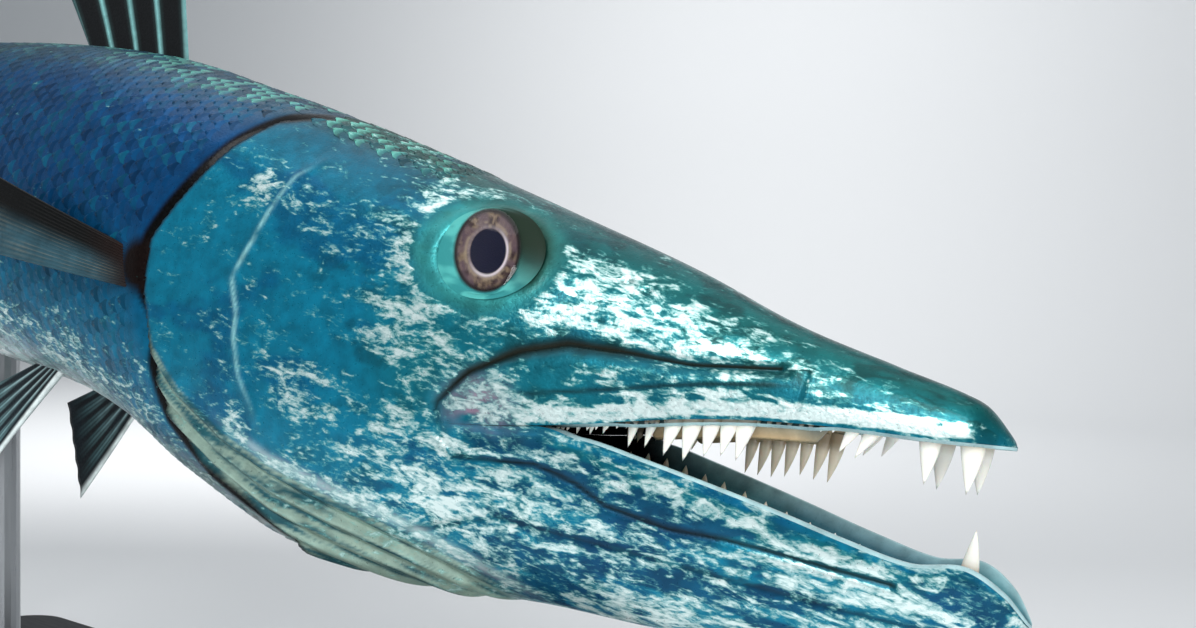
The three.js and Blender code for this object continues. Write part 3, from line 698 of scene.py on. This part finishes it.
class BarracudaEyes(bpy.types.PropertyGroup):
    """Radii of the eye's parts"""
    iris: FloatProperty(name="Iris radius", description="Radius of the iris", default=0.0122, min=0.005,
                        max=0.016, unit="LENGTH")
    pupil: FloatProperty(name="Pupil radius", description="Radius of the pupil", default=0.0068, min=0.003,
                         max=0.012, unit="LENGTH")


class BarracudaFins(bpy.types.PropertyGroup):
    """Form of the fins"""
    ray_rise: FloatProperty(name="Ray rise", description="How far a ray stands out of its fin",
                            default=0.0005, min=0, max=0.002, unit="LENGTH")


class BarracudaStage(bpy.types.PropertyGroup):
    """Camera and light"""
    lens: FloatProperty(name="Lens", description="Focal length that gives the photograph's perspective",
                        default=30.1, min=15, max=90, subtype="DISTANCE_CAMERA")
    key_power: FloatProperty(name="Key light", description="Power of the large soft light", default=13,
                             min=1, max=300, unit="POWER")


# Pieces


def skin_blocks(settings):
    """The skin as grids. Ahead of the mouth's end the upper and lower rows have stations of their own, which
    meet at the corner, and behind it they share them."""
    rows = settings.rows
    front = np.linspace(0, 1, int(settings.head_stations * 0.55)) ** 1.5 * MOUTH_END
    head = np.linspace(MOUTH_END, TRUNK_START, int(settings.head_stations * 0.45))[1:]
    trunk = np.linspace(TRUNK_START, TAIL_BASE, settings.trunk_stations)[1:]
    u = np.linspace(0, 1, rows)
    t = np.linspace(0, 1, 16)
    blocks = []
    for lower in (False, True):
        lead = front + LOWER_TIP * (1 - ramp(0, 110, front)) if lower else front
        stations = np.concatenate([lead, head, trunk])
        s, uu = np.meshgrid(stations, u, indexing="ij")
        p, _ = outer(s, uu, lower)
        share = mouth_share(s)
        v = share + uu * (1 - share) if lower else uu * share
        colour, silver = markings(p, v)
        ls, lt = np.meshgrid(lead, t, indexing="ij")
        inside = lining(ls, lt, lower)
        gum = 0 if lower else ramp(0.3, 0.4, lt) * ramp(0.75, 0.6, lt) * ramp(40, 60, ls)
        # Painted shade: the lining is dark teal for the mouth's shaded inside, near black towards its corner;
        # the gum is tan, the lip's edge pale.
        flesh = paint("1d5565", ("4c8088", ramp(0.4, 0.7, cloud(inside, 14, 61, 3))), ("d2b78e", gum),
                      ("120b0c", ramp(88, 128, ls)), ("a9ccd0", ramp(0.3, 0.1, lt) * ramp(130, 110, ls)))
        for side, q, flip in both_sides(p):
            blocks.append({"points": place(q), "flip": flip, "colour": colour, "silver": silver,
                           "uv": unwrap(s, v, side)})
        for side, q, flip in both_sides(inside):
            uv = unwrap(ls, share[: len(lead), :1] * (1 + 0.02 * lt), side)
            blocks.append({"points": place(q), "flip": flip != lower, "colour": flesh, "uv": uv,
                           "slot": 1})
    return blocks


class BARRACUDA_OT_skin(bpy.types.Operator):
    """Builds the one skin that stands for all the flesh"""
    bl_idname = "barracuda.skin"
    bl_label = "Skin"

    def execute(self, context):
        skin = skin_material("wet guanine skin", 0.34, 0.5, 0.0004)
        # Bare flesh, kept wet: it shines but has no silver, so the teeth stand bright before it.
        mouth = skin_material("wet mouth lining", 0.3, 0.0, 0.0003)
        piece = mesh_object("skin", skin_blocks(context.scene.barracuda_skin), [skin, mouth])
        finish_piece(piece, "skin", *FLESH)
        return {"FINISHED"}


def half_girth(s):
    """The way round one side of the body: half an ellipse, from its half width and half its height."""
    return 0.5 * np.pi * (HALF_WIDTH(s) + (BACK(s) - BELLY(s)) / 2) * 0.98


def scale_seats(settings):
    """Where the scales sit: s, v, the spacing along the fish, the root, and the directions along, across and
    out of the skin. Every second row is set on by half a scale. None lie on the gill cover, in the slit
    behind it or at the pectoral fin's root."""
    rows = settings.rows
    stations = [SCALES_START]
    while stations[-1] < TAIL_BASE - 6:
        spacing = half_girth(stations[-1]) / rows * settings.length_share
        stations.append(stations[-1] + max(spacing, 2.6))
    stations = np.array(stations)
    s, row = np.meshgrid(stations, np.arange(rows) + 0.5, indexing="ij")
    v = (row + 0.5 * (np.arange(len(stations)) % 2)[:, None] - 0.25) / rows
    step = np.broadcast_to(np.gradient(stations)[:, None], row.shape)
    keep = (v > 0.004) & (v < 0.985)
    s, v, step = s[keep], v[keep], step[keep]
    share = mouth_share(s)
    low = v > share
    u = np.where(low, (v - share) / (1 - share), v / share)
    root, normal = outer(s, u, low)
    gill, _ = from_line(GILL_MARGIN, root[:, 0], root[:, 2])
    scaled = (gill > 7.5) | ((gill < -3) & (v < 0.16)) | (root[:, 0] > TRUNK_START)
    scaled &= np.hypot(root[:, 0] - 322, (root[:, 2] + 16) * 0.8) > 9
    s, v, step, u, low, root, normal = (a[scaled] for a in (s, v, step, u, low, root, normal))
    ahead, _ = outer(s + step, u, low)
    along = ahead - root
    along /= np.linalg.norm(along, axis=-1, keepdims=True)
    across = np.cross(normal, along)
    across /= np.linalg.norm(across, axis=-1, keepdims=True)
    return s, v, step, root, along, across, normal


def scale_blocks(settings):
    """Scales as small shields that overlap backward. Each is a grid of 5 by 5 points: across it y runs from
    -1 to 1, along it t from 0 to 1 with the width falling off as the root of 1 - t to the fourth, and its
    last row turns down into the skin."""
    s, v, step, root, along, across, normal = scale_seats(settings)
    tt, cc = np.meshgrid([0, 0.35, 0.7, 0.93, 1.0], np.linspace(-1, 1, 5), indexing="ij")
    last = tt > 0.98
    outline = np.where(last, 0.3, np.maximum(np.sqrt(np.clip(1 - tt ** 4, 0, 1)), 0.3))
    length = (step * 1.45)[:, None, None] * tt * (1 - 0.22 * cc ** 2)
    width = (half_girth(s) / settings.rows * 0.62)[:, None, None] * outline * cc
    height = settings.lift / MM * ((-1.2 + 2.6 * tt) * (1 - 0.35 * cc ** 2) - 1.2 * last)
    p = (root[:, None, None] + along[:, None, None] * length[..., None]
         + across[:, None, None] * width[..., None] + normal[:, None, None] * height[..., None])
    colour, silver = markings(root, v)
    rng = np.random.default_rng(11)
    vary = rng.uniform(0.6, 1.35, len(s))
    # Painted glints: on some scales in a band along the back, the free edge is painted mint and its silver
    # raised.
    cluster = ramp(0.34, 0.5, cloud(root, 14, 71, 3)) * ramp(620, 330, s)
    cluster = cluster * ramp(0.015, 0.04, v) * ramp(0.23, 0.12, v)
    glint = (rng.uniform(0, 1, len(s)) > 0.4) * cluster
    pale = rng.uniform(0, 1, len(s)) ** 4 * ramp(0.14, 0.3, v)
    colour = paint(colour * vary[:, None], (palette()[2], 0.6 * pale))
    # Painted shade and light: each scale is darker at its root, under the scale ahead, and lighter at its
    # free edge.
    shade = 1.0 - 0.55 * ramp(0.25, 0.0, tt) + 0.25 * ramp(0.75, 1, tt)
    rim = glint[:, None, None] * ramp(0.5, 0.95, tt)
    colour = paint(colour[:, None, None] * shade[..., None], ("7fe3cd", 0.85 * rim))
    return p, colour, np.clip(silver[:, None, None] + 0.35 * rim, -1, 1), s, v


class BARRACUDA_OT_scales(bpy.types.Operator):
    """Lays the scales over the trunk and nape, following the body backward"""
    bl_idname = "barracuda.scales"
    bl_label = "Scales"

    def execute(self, context):
        # Thin bone plates over guanine: each catches the light by itself, in small steps.
        material = skin_material("cycloid scale", 0.36, 0.6, 0.0001, coat=0.06)
        p, colour, silver, s, v = scale_blocks(context.scene.barracuda_scales)
        cell = np.linspace(-0.0015, 0.0015, 5)
        patch = np.stack(np.meshgrid(cell, cell, indexing="ij"), -1)
        for side, q, flip in both_sides(p):
            uv = unwrap(s, v, side)[:, None, None] + patch
            block = {"points": place(q), "flip": not flip, "colour": colour, "silver": silver, "uv": uv}
            name = "scales_left" if side > 0 else "scales_right"
            piece = mesh_object(name, [block], [material], weld=False)
            finish_piece(piece, "skin")
        return {"FINISHED"}


def eye_grid(radius, height, side, iris):
    """A round form about the eye's outward axis, from rings of a radius and a height each. Out to the iris it
    is 1.18 times as tall as it is wide and leans back, and at its rim 1.18 times as wide as it is tall."""
    out, forward, up = eye_axes(side)
    angle = np.linspace(0, 2 * np.pi, 97)
    radius = radius[:, None]
    share = ramp(iris, EYE_RADIUS, radius)
    wide = radius * (1 + 0.18 * share) * np.cos(angle)
    tall = radius * (1.18 - 0.18 * share) * np.sin(angle)
    lean = 0.28 * tall * (1 - share)
    grid = (EYE * np.array([1, side, 1]) + (wide - lean)[..., None] * forward + tall[..., None] * up
            + height[:, None, None] * out)
    return grid, *np.broadcast_arrays(radius, angle)


class BARRACUDA_OT_eyes(bpy.types.Operator):
    """Builds each eye as a ball with a set-back iris under a clear cornea"""
    bl_idname = "barracuda.eyes"
    bl_label = "Eyes"

    def execute(self, context):
        sizes = context.scene.barracuda_eyes
        iris, pupil = sizes.iris / MM, sizes.pupil / MM
        tissue = eye_material()
        # Clear as glass and always wet: it gives the eye its depth and its one sharp glint.
        clear, _, _ = new_material("clear wet cornea", {
            "Base Color": (1, 1, 1, 1), "Roughness": 0.02, "IOR": 1.376, "Transmission Weight": 1.0})
        radii = np.concatenate([np.linspace(0.01, iris, 40), np.linspace(iris + 0.3, 17.4, 14)])
        well = np.where(radii < iris, -2.4 + 0.9 * (radii / iris) ** 2, -1.5 - 0.05 * (radii - iris) ** 2)
        dome_radii = np.linspace(0.01, iris + 0.8, 24)
        dome = 0.4 - 1.1 * (dome_radii / (iris + 0.8)) ** 2
        for side, name in ((1, "left"), (-1, "right")):
            ball, radius, angle = eye_grid(radii, well, side, iris)
            block = {"points": place(ball), "colour": eye_colours(radius, angle, iris, pupil),
                     "flip": side < 0}
            finish_piece(mesh_object(f"eye_{name}_ball", [block], [tissue]), "eye", f"eye_{name}")
            cornea, _, _ = eye_grid(dome_radii, dome, side, iris)
            block = {"points": place(cornea), "flip": side < 0}
            finish_piece(mesh_object(f"eye_{name}_cornea", [block], [clear]), "eye")
        return {"FINISHED"}


def eye_colours(radius, angle, iris, pupil):
    """Navy pupil, drawn out a little forward and down, a thin pale ring beside it with a painted highlight
    ahead of and below it, a mauve-brown iris with tan flecks and a dark edge, and round it the teal lid, in
    shadow above and ahead."""
    edge = pupil * (1 + 0.07 * np.cos(angle + 0.6))
    where = np.stack([radius * np.cos(angle), radius * np.sin(angle), 0 * angle], -1)
    spokes = np.stack([np.cos(angle) * 12, np.sin(angle) * 12, radius * 0.7], -1)
    share = (radius - edge) / (iris - edge)
    # Painted highlight: the pale ring round the pupil is faint all round and bright ahead of and below it.
    ring_with_highlight = 0.15 + 0.85 * ramp(-0.5, 0.7, np.cos(angle + 0.6))
    lid = paint("2f8384", ("4fa9a4", ramp(0.4, 0.6, cloud(where, 5, 97, 3))),
                ("0c2214", ramp(-0.2, 0.95, np.cos(angle - 0.8))))
    tissue = paint(
        "3c2a2c", ("8f7a62", ramp(0.35, 0.72, cloud(spokes, 1, 81, 4))),
        ("6a5560", 0.7 * ramp(0.42, 0.6, cloud(where, 4, 91, 3))),
        ("efe6ec", ring_with_highlight * bump(share - 0.1, 0.11)),
        ("b9a58c", 0.6 * bump(share - 0.3, 0.12) * ramp(0.45, 0.6, cloud(where, 3, 95, 2))),
        ("1b1214", ramp(0.74, 0.97, share)))
    return paint("03062a", (tissue, ramp(-0.03, 0.04, share)), (lid, ramp(iris, iris + 0.8, radius)))


def eye_material():
    """Iris and lid tissue: matt and finely grained, as the shine is the cornea's over it."""
    material, tree, surface = new_material("iris tissue", {"Roughness": 0.5, "Specular IOR Level": 0.15})
    tint = add(tree, "ShaderNodeAttribute", {"attribute_name": "tint"})
    tree.links.new(tint.outputs["Color"], surface.inputs["Base Color"])
    space = add(tree, "ShaderNodeTexCoord")
    grain = add(tree, "ShaderNodeTexNoise", {"Scale": cells(0.4)}, {"Vector": (space, "Object")})
    bumps = add(tree, "ShaderNodeBump", {"Strength": 0.3, "Distance": 0.0002}, {"Height": (grain, "Fac")})
    tree.links.new(bumps.outputs["Normal"], surface.inputs["Normal"])
    return material


def tooth_list():
    """Every tooth as (s, y, z, height, width, lean, turn), left and right, in rows with seeded variation."""
    rng = np.random.default_rng(5)
    teeth = []

    def row(start, end, count, inset, width, lip, raised, height, stout, turn, lean=0.0, sides=(1, -1)):
        """Teeth spaced evenly from start to end, each up to a tenth taller or lower than height."""
        for s in np.linspace(start, end, count):
            for side in sides:
                tall = height * rng.uniform(0.9, 1.1)
                teeth.append((s + rng.uniform(-0.3, 0.3), side * (width(s) - inset), lip(s) + raised, tall,
                              1 + stout * tall, lean + rng.uniform(-0.05, 0.05), turn))

    row(70, 91, 5, 3.0, HALF_WIDTH, UPPER_LIP, 1.5, 13, 0.42, -1, sides=(-1,))
    row(51, 80, 7, 8.5, HALF_WIDTH, UPPER_LIP, -4.5, 11.5, 0.3, -1, sides=(1,))
    row(98.5, 104, 2, 4.5, HALF_WIDTH, UPPER_LIP, 1.5, 9.5, 0.32, -1)
    row(35, 40, 2, 4, HALF_WIDTH, UPPER_LIP, 1.5, 10, 0.38, -1, 0.3)
    row(10.5, 21, 2, 5, HALF_WIDTH, UPPER_LIP, 1.5, 15, 0.4, -1, -0.15)
    row(112, 134, 6, 4, HALF_WIDTH, UPPER_LIP, 1.5, 4.5, 0.3, -1)
    row(46, 132, 30, 2.6, HALF_WIDTH, UPPER_LIP, 0, 1.8, 0.3, -1)
    row(30, 130, 13, 7.5, LOWER_WIDTH, LOWER_LIP, -6.8, 3.4, 0.5, 1)
    teeth.append((5, 0, LOWER_LIP(5.0) - 2, 12, 5, 0, 1))
    return np.array(teeth, float)


def tooth_points(some):
    """Each tooth as a grid from its sunk root, t = -0.25, to its tip, t = 1: a flattened round whose width
    falls off as 1 less t to the power 1.5, and whose axis leans and curves backward by t²."""
    s, y, z, tall, wide, lean, turn = some.T[:, :, None, None]
    t = np.linspace(-0.25, 1, 12)[:, None]
    angle = np.linspace(0, 2 * np.pi, 15)
    taper = 0.5 * wide * (1 - np.clip(t, 0, 1) ** 1.5) * (1 + 0.12 * (t < 0))
    x = s + taper * np.cos(angle) + t * tall * np.sin(lean) + 0.05 * tall * t ** 2
    return line_points(x, y + 0.6 * taper * np.sin(angle), z + turn * t * tall * np.cos(lean)), t


class BARRACUDA_OT_teeth(bpy.types.Operator):
    """Sets the fangs, the large roof teeth and the small rows"""
    bl_idname = "barracuda.teeth"
    bl_label = "Teeth"

    def execute(self, context):
        # Dense and glassy over ivory-coloured dentine: a bright edge, and a little light inside the tip.
        enamel, tree, surface = new_material("tooth enamel", {
            "Roughness": 0.18, "IOR": 1.62, "Subsurface Weight": 0.15, "Subsurface Scale": 0.001})
        tint = add(tree, "ShaderNodeAttribute", {"attribute_name": "tint"})
        tree.links.new(tint.outputs["Color"], surface.inputs["Base Color"])
        teeth = tooth_list()
        for name, turn in (("teeth_upper", -1), ("teeth_lower", 1)):
            some = teeth[teeth[:, 6] == turn]
            p, t = tooth_points(some)
            # Painted shade: the teeth on the far side, behind the front, get a darker, warmer ivory for the
            # shade inside the mouth.
            tan = (some[:, 0] > 50) & (some[:, 1] > 0)
            white = np.where(tan[:, None], linear("f3e8cf"), linear("f6f4ea"))[:, None, None]
            block = {"points": place(p), "colour": paint("a8977c", (white, ramp(0, 0.3, t))),
                     "flip": turn > 0}
            finish_piece(mesh_object(name, [block], [enamel]), "skin")
        return {"FINISHED"}


FIN_ROWS = 36
POINTS_PER_RAY = 8


def fin_grid(shape, rays, root, rise, tip=0.5, bow=0, arch=0, scallop=0.012):
    """A fin as a loop of points round each of its rows, from the root, t = 0, to the edge, t = 1. It thins
    from root to tip by t to the power 0.7, and bends by bow times t² and arch times 4t(1 - t). Rays stand
    out as bells in its thickness and fork, and the edge draws in between them by scallop."""
    outline, *sizes = shape
    share = np.linspace(0, 1, POINTS_PER_RAY * (rays - 1) + 1)
    t = np.linspace(0, 1, FIN_ROWS)[:, None]
    phase = share * (rays - 1)
    off = np.abs(phase - np.round(phase))
    base, edge = outline(share, *sizes)
    edge = base + (edge - base) * (1 - scallop * np.sin(np.pi * (phase % 1)) ** 2)[:, None]
    base_at, edge_at = outline(np.array([0, 0.5, 1]), *sizes)
    normal = np.cross(base_at[2] - base_at[0], edge_at[1] - base_at[1])
    normal = normal / np.linalg.norm(normal)
    split = np.minimum(off, np.abs(off - 0.22) + 0.04) if scallop < 0.1 else off
    forked = ramp(0.35, 0.7, t)
    ridge = bump(off * (1 - forked) + split * forked, 0.11)
    half = (root + (tip - root) * t ** 0.7) / 2 * 0.8 + rise * ridge * (1 - 0.7 * t)
    half = half * ramp(1.0, 0.97, t) * np.sqrt(np.clip(np.minimum(share, 1 - share) / 0.01, 0.0, 1))
    middle = base + (edge - base) * t[..., None] + normal * (bow * t ** 2 + arch * 4 * t * (1 - t))[..., None]
    front, rear = middle + normal * half[..., None], middle - normal * half[..., None]
    grid = np.concatenate([front, rear[:, ::-1], front[:, :1]], 1)
    fields = np.broadcast_arrays(ridge, t, share)
    return grid, *(np.concatenate([a, a[:, ::-1], a[:, :1]], 1) for a in fields)


def line_points(s, y, z):
    """Points from their s, y and z, each a number or an array."""
    return np.stack(np.broadcast_arrays(s, y, z), -1).astype(float)


def midline_fin(share, line, up, start, end, tall, low, sweep, notch):
    """Base and edge of a fin on the back or belly line. Its height goes from tall to low by the share to the
    power 0.8, less half a sine wave for its hollow edge, and it sweeps backward."""
    s = start + (end - start) * share
    height = tall + (low - tall) * share ** 0.8 - notch * np.sin(np.pi * share)
    edge = line_points(s + sweep * (1 - 0.25 * share), 0, line(s) + up * height)
    return line_points(s, 0, line(s) - up * 6), edge


def tail_lobe(share, up):
    """Base and edge of half the tail fin, from its outer ray to its middle. With out from 1 to 0, the hind
    edge runs back by out to the power 1.15, less a sine squared, and spreads by out to the power 1.2."""
    out = 1 - share
    hind = 78 + 90 * out ** 1.15 - 9 * np.sin(np.pi * out) ** 2
    edge = line_points(TAIL_BASE + hind, 0, up * (0.1 + 158 * out ** 1.2))
    return line_points(TAIL_BASE - 14, 0, up * (32 - 31.9 * share)), edge


def pectoral(share, side):
    """Base and edge of the pectoral fin, from its upper ray to its lower one."""
    return (line_points(317 - 1.5 * share, side * 54, -9 - 14 * share),
            line_points(428 - 38 * share ** 1.3, side * (84 - 4 * share), 15 - 38 * share))


def pelvic(share, side):
    """Base and edge of the pelvic fin, from its front ray to its rear one."""
    return (line_points(400 + 16 * share, side * (24 - 2 * share), -64 - 2 * share),
            line_points(452 + 26 * share, side * (32 - 4 * share), -146 + 46 * share))


FINS = {
    "dorsal_fin_first": dict(shape=(midline_fin, BACK, 1, 404, 488, 100, 30, 52, 0), rays=5, root=4,
                             scallop=0.2),
    "dorsal_fin_second": dict(shape=(midline_fin, BACK, 1, 716, 800, 92, 30, 52, 26), rays=10, root=4),
    "anal_fin": dict(shape=(midline_fin, BELLY, -1, 726, 804, 88, 28, 50, 24), rays=9, root=4),
    "tail_fin_upper": dict(shape=(tail_lobe, 1), rays=12, root=15, tip=0.6),
    "tail_fin_lower": dict(shape=(tail_lobe, -1), rays=12, root=15, tip=0.6),
    "pectoral_fin_left": dict(shape=(pectoral, 1), rays=17, root=5, bow=4, arch=-5),
    "pectoral_fin_right": dict(shape=(pectoral, -1), rays=17, root=5, bow=-4, arch=5),
    "pelvic_fin_left": dict(shape=(pelvic, 1), rays=6, root=4.5, bow=-3),
    "pelvic_fin_right": dict(shape=(pelvic, -1), rays=6, root=4.5, bow=3),
}


def fin_colours(name, ridge, t, share, grid):
    """Near-black membrane, paler rays, and for each fin what its kind shows: pale tips on the tail, a white
    leading edge on the pelvics, brown rays in the pectorals."""
    if name == "dorsal_fin_first":
        return paint("040608", ("8fd0cf", 0.8 * ridge ** 2.5))
    membrane = paint("08090c", ("15222a", cloud(grid, 16, 101, 3)))
    ray = linear("7fb7bd")
    strength = 0.55 * ridge
    if name.startswith("pectoral"):
        low = ramp(0.3, 0.75, share)
        dark_root = ramp(0.3, 0.04, t)
        membrane = paint("020303", ("2b4a55", low), ("1c0d08", dark_root))
        ray = paint("241812", ("a99f86", ramp(0.25, 0.6, share)))
        strength = (0.1 + 0.7 * low) * ridge ** 2 * ramp(0.3, 0.65, cloud(grid, 9, 103, 3, (3, 1, 1)))
        strength = strength * (1 - dark_root)
    colour = paint(membrane, (ray, strength * ramp(1.0, 0.5, t)))
    if name.startswith("pelvic"):
        white = np.maximum(ramp(0.1, 0.02, share), 0.35 * ridge * ramp(0.8, 0.2, t))
        return paint(colour, ("e3efee", white))
    if name.startswith("tail"):
        return paint(colour, ("d5dedd", ramp(0.86, 0.97, t) * ramp(0.6, 0.2, share)))
    if name in ("dorsal_fin_second", "anal_fin"):
        return paint(colour, ("c9d6d6", 0.8 * ramp(0.9, 0.98, t) * ramp(0.35, 0.1, share)))
    return colour


class BARRACUDA_OT_fins(bpy.types.Operator):
    """Builds every fin with its rays raised in a thin membrane"""
    bl_idname = "barracuda.fins"
    bl_label = "Fins"

    def execute(self, context):
        # Skin stretched thin over rays: dark and satin, as it has no guanine, with the rays as low ridges.
        material = skin_material("fin membrane", 0.5, 0.0, 0.0002)
        rise = context.scene.barracuda_fins.ray_rise / MM
        for name, fin in FINS.items():
            grid, ridge, t, share = fin_grid(rise=rise, **fin)
            block = {"points": place(grid), "colour": fin_colours(name, ridge, t, share, grid)}
            piece = mesh_object(name + "_skin", [block], [material])
            outward(piece)
            finish_piece(piece, "fin", name)
        return {"FINISHED"}


def outward(piece):
    """Turns a mesh's faces round if its volume comes out negative."""
    mesh = piece.data
    mesh.calc_loop_triangles()
    corners = np.empty(len(mesh.loop_triangles) * 3, np.int32)
    mesh.loop_triangles.foreach_get("vertices", corners)
    co = np.empty(len(mesh.vertices) * 3, np.float32)
    mesh.vertices.foreach_get("co", co)
    a, b, c = np.moveaxis((co.reshape(-1, 3) - co.reshape(-1, 3).mean(0))[corners.reshape(-1, 3)], 1, 0)
    if (a * np.cross(b, c)).sum() < 0:
        mesh.flip_normals()


class BARRACUDA_OT_stand(bpy.types.Operator):
    """Finishes the display stand's base and rods"""
    bl_idname = "barracuda.stand"
    bl_label = "Stand"

    def execute(self, context):
        base = stand_material("black-painted hardwood", "242527", 0.5, 0.0, (0.06, 1, 1), 2)
        rod = stand_material("brushed steel rod", "9a9da0", 0.3, 1.0, (1, 1, 0.05), 1.1)
        for name, material in (("stand_base", base), ("stand_rod_front", rod), ("stand_rod_rear", rod)):
            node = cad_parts[name]
            node.data.materials.clear()
            node.data.materials.append(material)
        return {"FINISHED"}


def stand_material(name, hex_colour, roughness, metallic, stretch, grain_size):
    """A fine grain in long lines: wood grain showing through paint, or the brush marks on steel, which draw
    its glints out across them."""
    material, tree, surface = new_material(name, {
        "Metallic": metallic, "Base Color": (*linear(hex_colour), 1)})
    space = add(tree, "ShaderNodeTexCoord")
    turned = add(tree, "ShaderNodeMapping", {"Scale": stretch}, {"Vector": (space, "Object")})
    grain = add(tree, "ShaderNodeTexNoise", {"Scale": cells(grain_size), "Detail": 3.0},
                {"Vector": (turned, "Vector")})
    rough = add(tree, "ShaderNodeMapRange", {"To Min": roughness - 0.1, "To Max": roughness + 0.12},
                {"Value": (grain, "Fac")})
    bumps = add(tree, "ShaderNodeBump", {"Strength": 0.25, "Distance": 0.0002}, {"Height": (grain, "Fac")})
    tree.links.new(rough.outputs["Result"], surface.inputs["Roughness"])
    tree.links.new(bumps.outputs["Normal"], surface.inputs["Normal"])
    return material


def area_light(name, power, size, place_at, look_at):
    """A round soft light with the area of a square of this size, turned to look at a point."""
    light = bpy.data.lights.new(name, "AREA")
    light.energy, light.shape, light.size = power, "DISK", size * 1.13
    lamp = bpy.data.objects.new(name, light)
    lamp.location = place_at
    lamp.rotation_euler = (look_at - lamp.location).to_track_quat("-Z", "Y").to_euler()
    bpy.context.scene.collection.objects.link(lamp)
    return lamp


# The camera's place from the snout, in metres, and where it looks, as solved from the photograph.
CAMERA_FROM_SNOUT = Vector((0.0537, -0.2859, 0.034))
CAMERA_LOOK = Vector((-0.552, 0.834, 0))


class BARRACUDA_OT_stage(bpy.types.Operator):
    """Adds the pale floor, the soft lights and the camera at the photograph's angle"""
    bl_idname = "barracuda.stage"
    bl_label = "Stage"

    def execute(self, context):
        settings = context.scene.barracuda_stage
        bend = np.linspace(0.1, np.pi / 2, 16)
        depth = np.concatenate([np.linspace(-12, 2.2, 12), 2.2 + 1.2 * np.sin(bend), np.full(8, 3.4)])
        height = np.concatenate([np.zeros(12), 1.2 - 1.2 * np.cos(bend), np.linspace(1.4, 4, 8)])
        wide = np.linspace(-12, 12, 24)
        grid = np.stack(np.broadcast_arrays(wide[None], depth[:, None], height[:, None]), -1)
        # A matt roll of paper that bends up into the wall: an even pale ground with no edge in it.
        paper, _, _ = new_material("pale studio paper", {
            "Base Color": (*linear("f4f5f6"), 1), "Roughness": 0.85})
        floor = mesh_object("studio_floor", [{"points": grid}], [paper])
        snout = Vector(SNOUT * MM)
        camera = bpy.data.objects.new("camera", bpy.data.cameras.new("camera"))
        camera.data.lens = settings.lens
        camera.data.sensor_width = 36
        camera.data.clip_start = 0.01
        camera.location = snout + CAMERA_FROM_SNOUT
        camera.rotation_euler = CAMERA_LOOK.to_track_quat("-Z", "Y").to_euler()
        context.scene.collection.objects.link(camera)
        context.scene.camera = camera
        centre = snout + Vector((-0.2, 0, 0))
        power = settings.key_power
        area_light("key", power, 0.7, snout + Vector((0.25, -0.9, 0.85)), centre)
        area_light("top", power * 0.7, 1.6, snout + Vector((-0.4, 0.1, 1.3)), centre)
        fill = area_light("fill", power * 0.5, 0.9, snout + Vector((0.45, -1.2, -0.02)), centre)
        fill.visible_glossy = False
        wall = Vector((-2.5, 3.4, 0.6))
        area_light("backdrop wash", power * 3.4, 2.5, snout + Vector((-1.5, 0.9, 1.6)), wall)
        world = bpy.data.worlds.new("studio")
        world.use_nodes = True
        sky = world.node_tree.nodes["Background"]
        sky.inputs["Color"].default_value = (0.8, 0.87, 0.93, 1)
        sky.inputs["Strength"].default_value = 0.32
        context.scene.world = world
        context.scene.view_settings.view_transform = "Standard"
        return {"FINISHED"}


OPERATORS = (BARRACUDA_OT_skin, BARRACUDA_OT_scales, BARRACUDA_OT_eyes, BARRACUDA_OT_teeth,
             BARRACUDA_OT_fins, BARRACUDA_OT_stand, BARRACUDA_OT_stage)
GROUPS = {"barracuda_colours": BarracudaColours, "barracuda_skin": BarracudaSkin,
          "barracuda_scales": BarracudaScales, "barracuda_eyes": BarracudaEyes,
          "barracuda_fins": BarracudaFins, "barracuda_stage": BarracudaStage}


class BARRACUDA_PT_panel(bpy.types.Panel):
    """Lists the pieces and their sizes"""
    bl_idname = "BARRACUDA_PT_panel"
    bl_label = "Barracuda"
    bl_space_type = "VIEW_3D"
    bl_region_type = "UI"
    bl_category = "Barracuda"

    def draw(self, context):
        for name, group in GROUPS.items():
            for prop in group.__annotations__:
                self.layout.prop(getattr(context.scene, name), prop)
        for operator in OPERATORS:
            self.layout.operator(operator.bl_idname)


def register():
    """Adds the settings, the operators and the panel to Blender."""
    for group in GROUPS.values():
        bpy.utils.register_class(group)
    for name, group in GROUPS.items():
        setattr(bpy.types.Scene, name, PointerProperty(type=group))
    for cls in (*OPERATORS, BARRACUDA_PT_panel):
        bpy.utils.register_class(cls)


def unregister():
    """Takes them out again, in the opposite order."""
    for cls in (BARRACUDA_PT_panel, *reversed(OPERATORS)):
        bpy.utils.unregister_class(cls)
    for name in GROUPS:
        delattr(bpy.types.Scene, name)
    for group in GROUPS.values():
        bpy.utils.unregister_class(group)


def main():
    """Builds every piece through its operator."""
    register()
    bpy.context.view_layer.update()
    for name in ("skin", "scales", "eyes", "teeth", "fins", "stand", "stage"):
        getattr(bpy.ops.barracuda, name)()


if __name__ == "__main__":
    main()
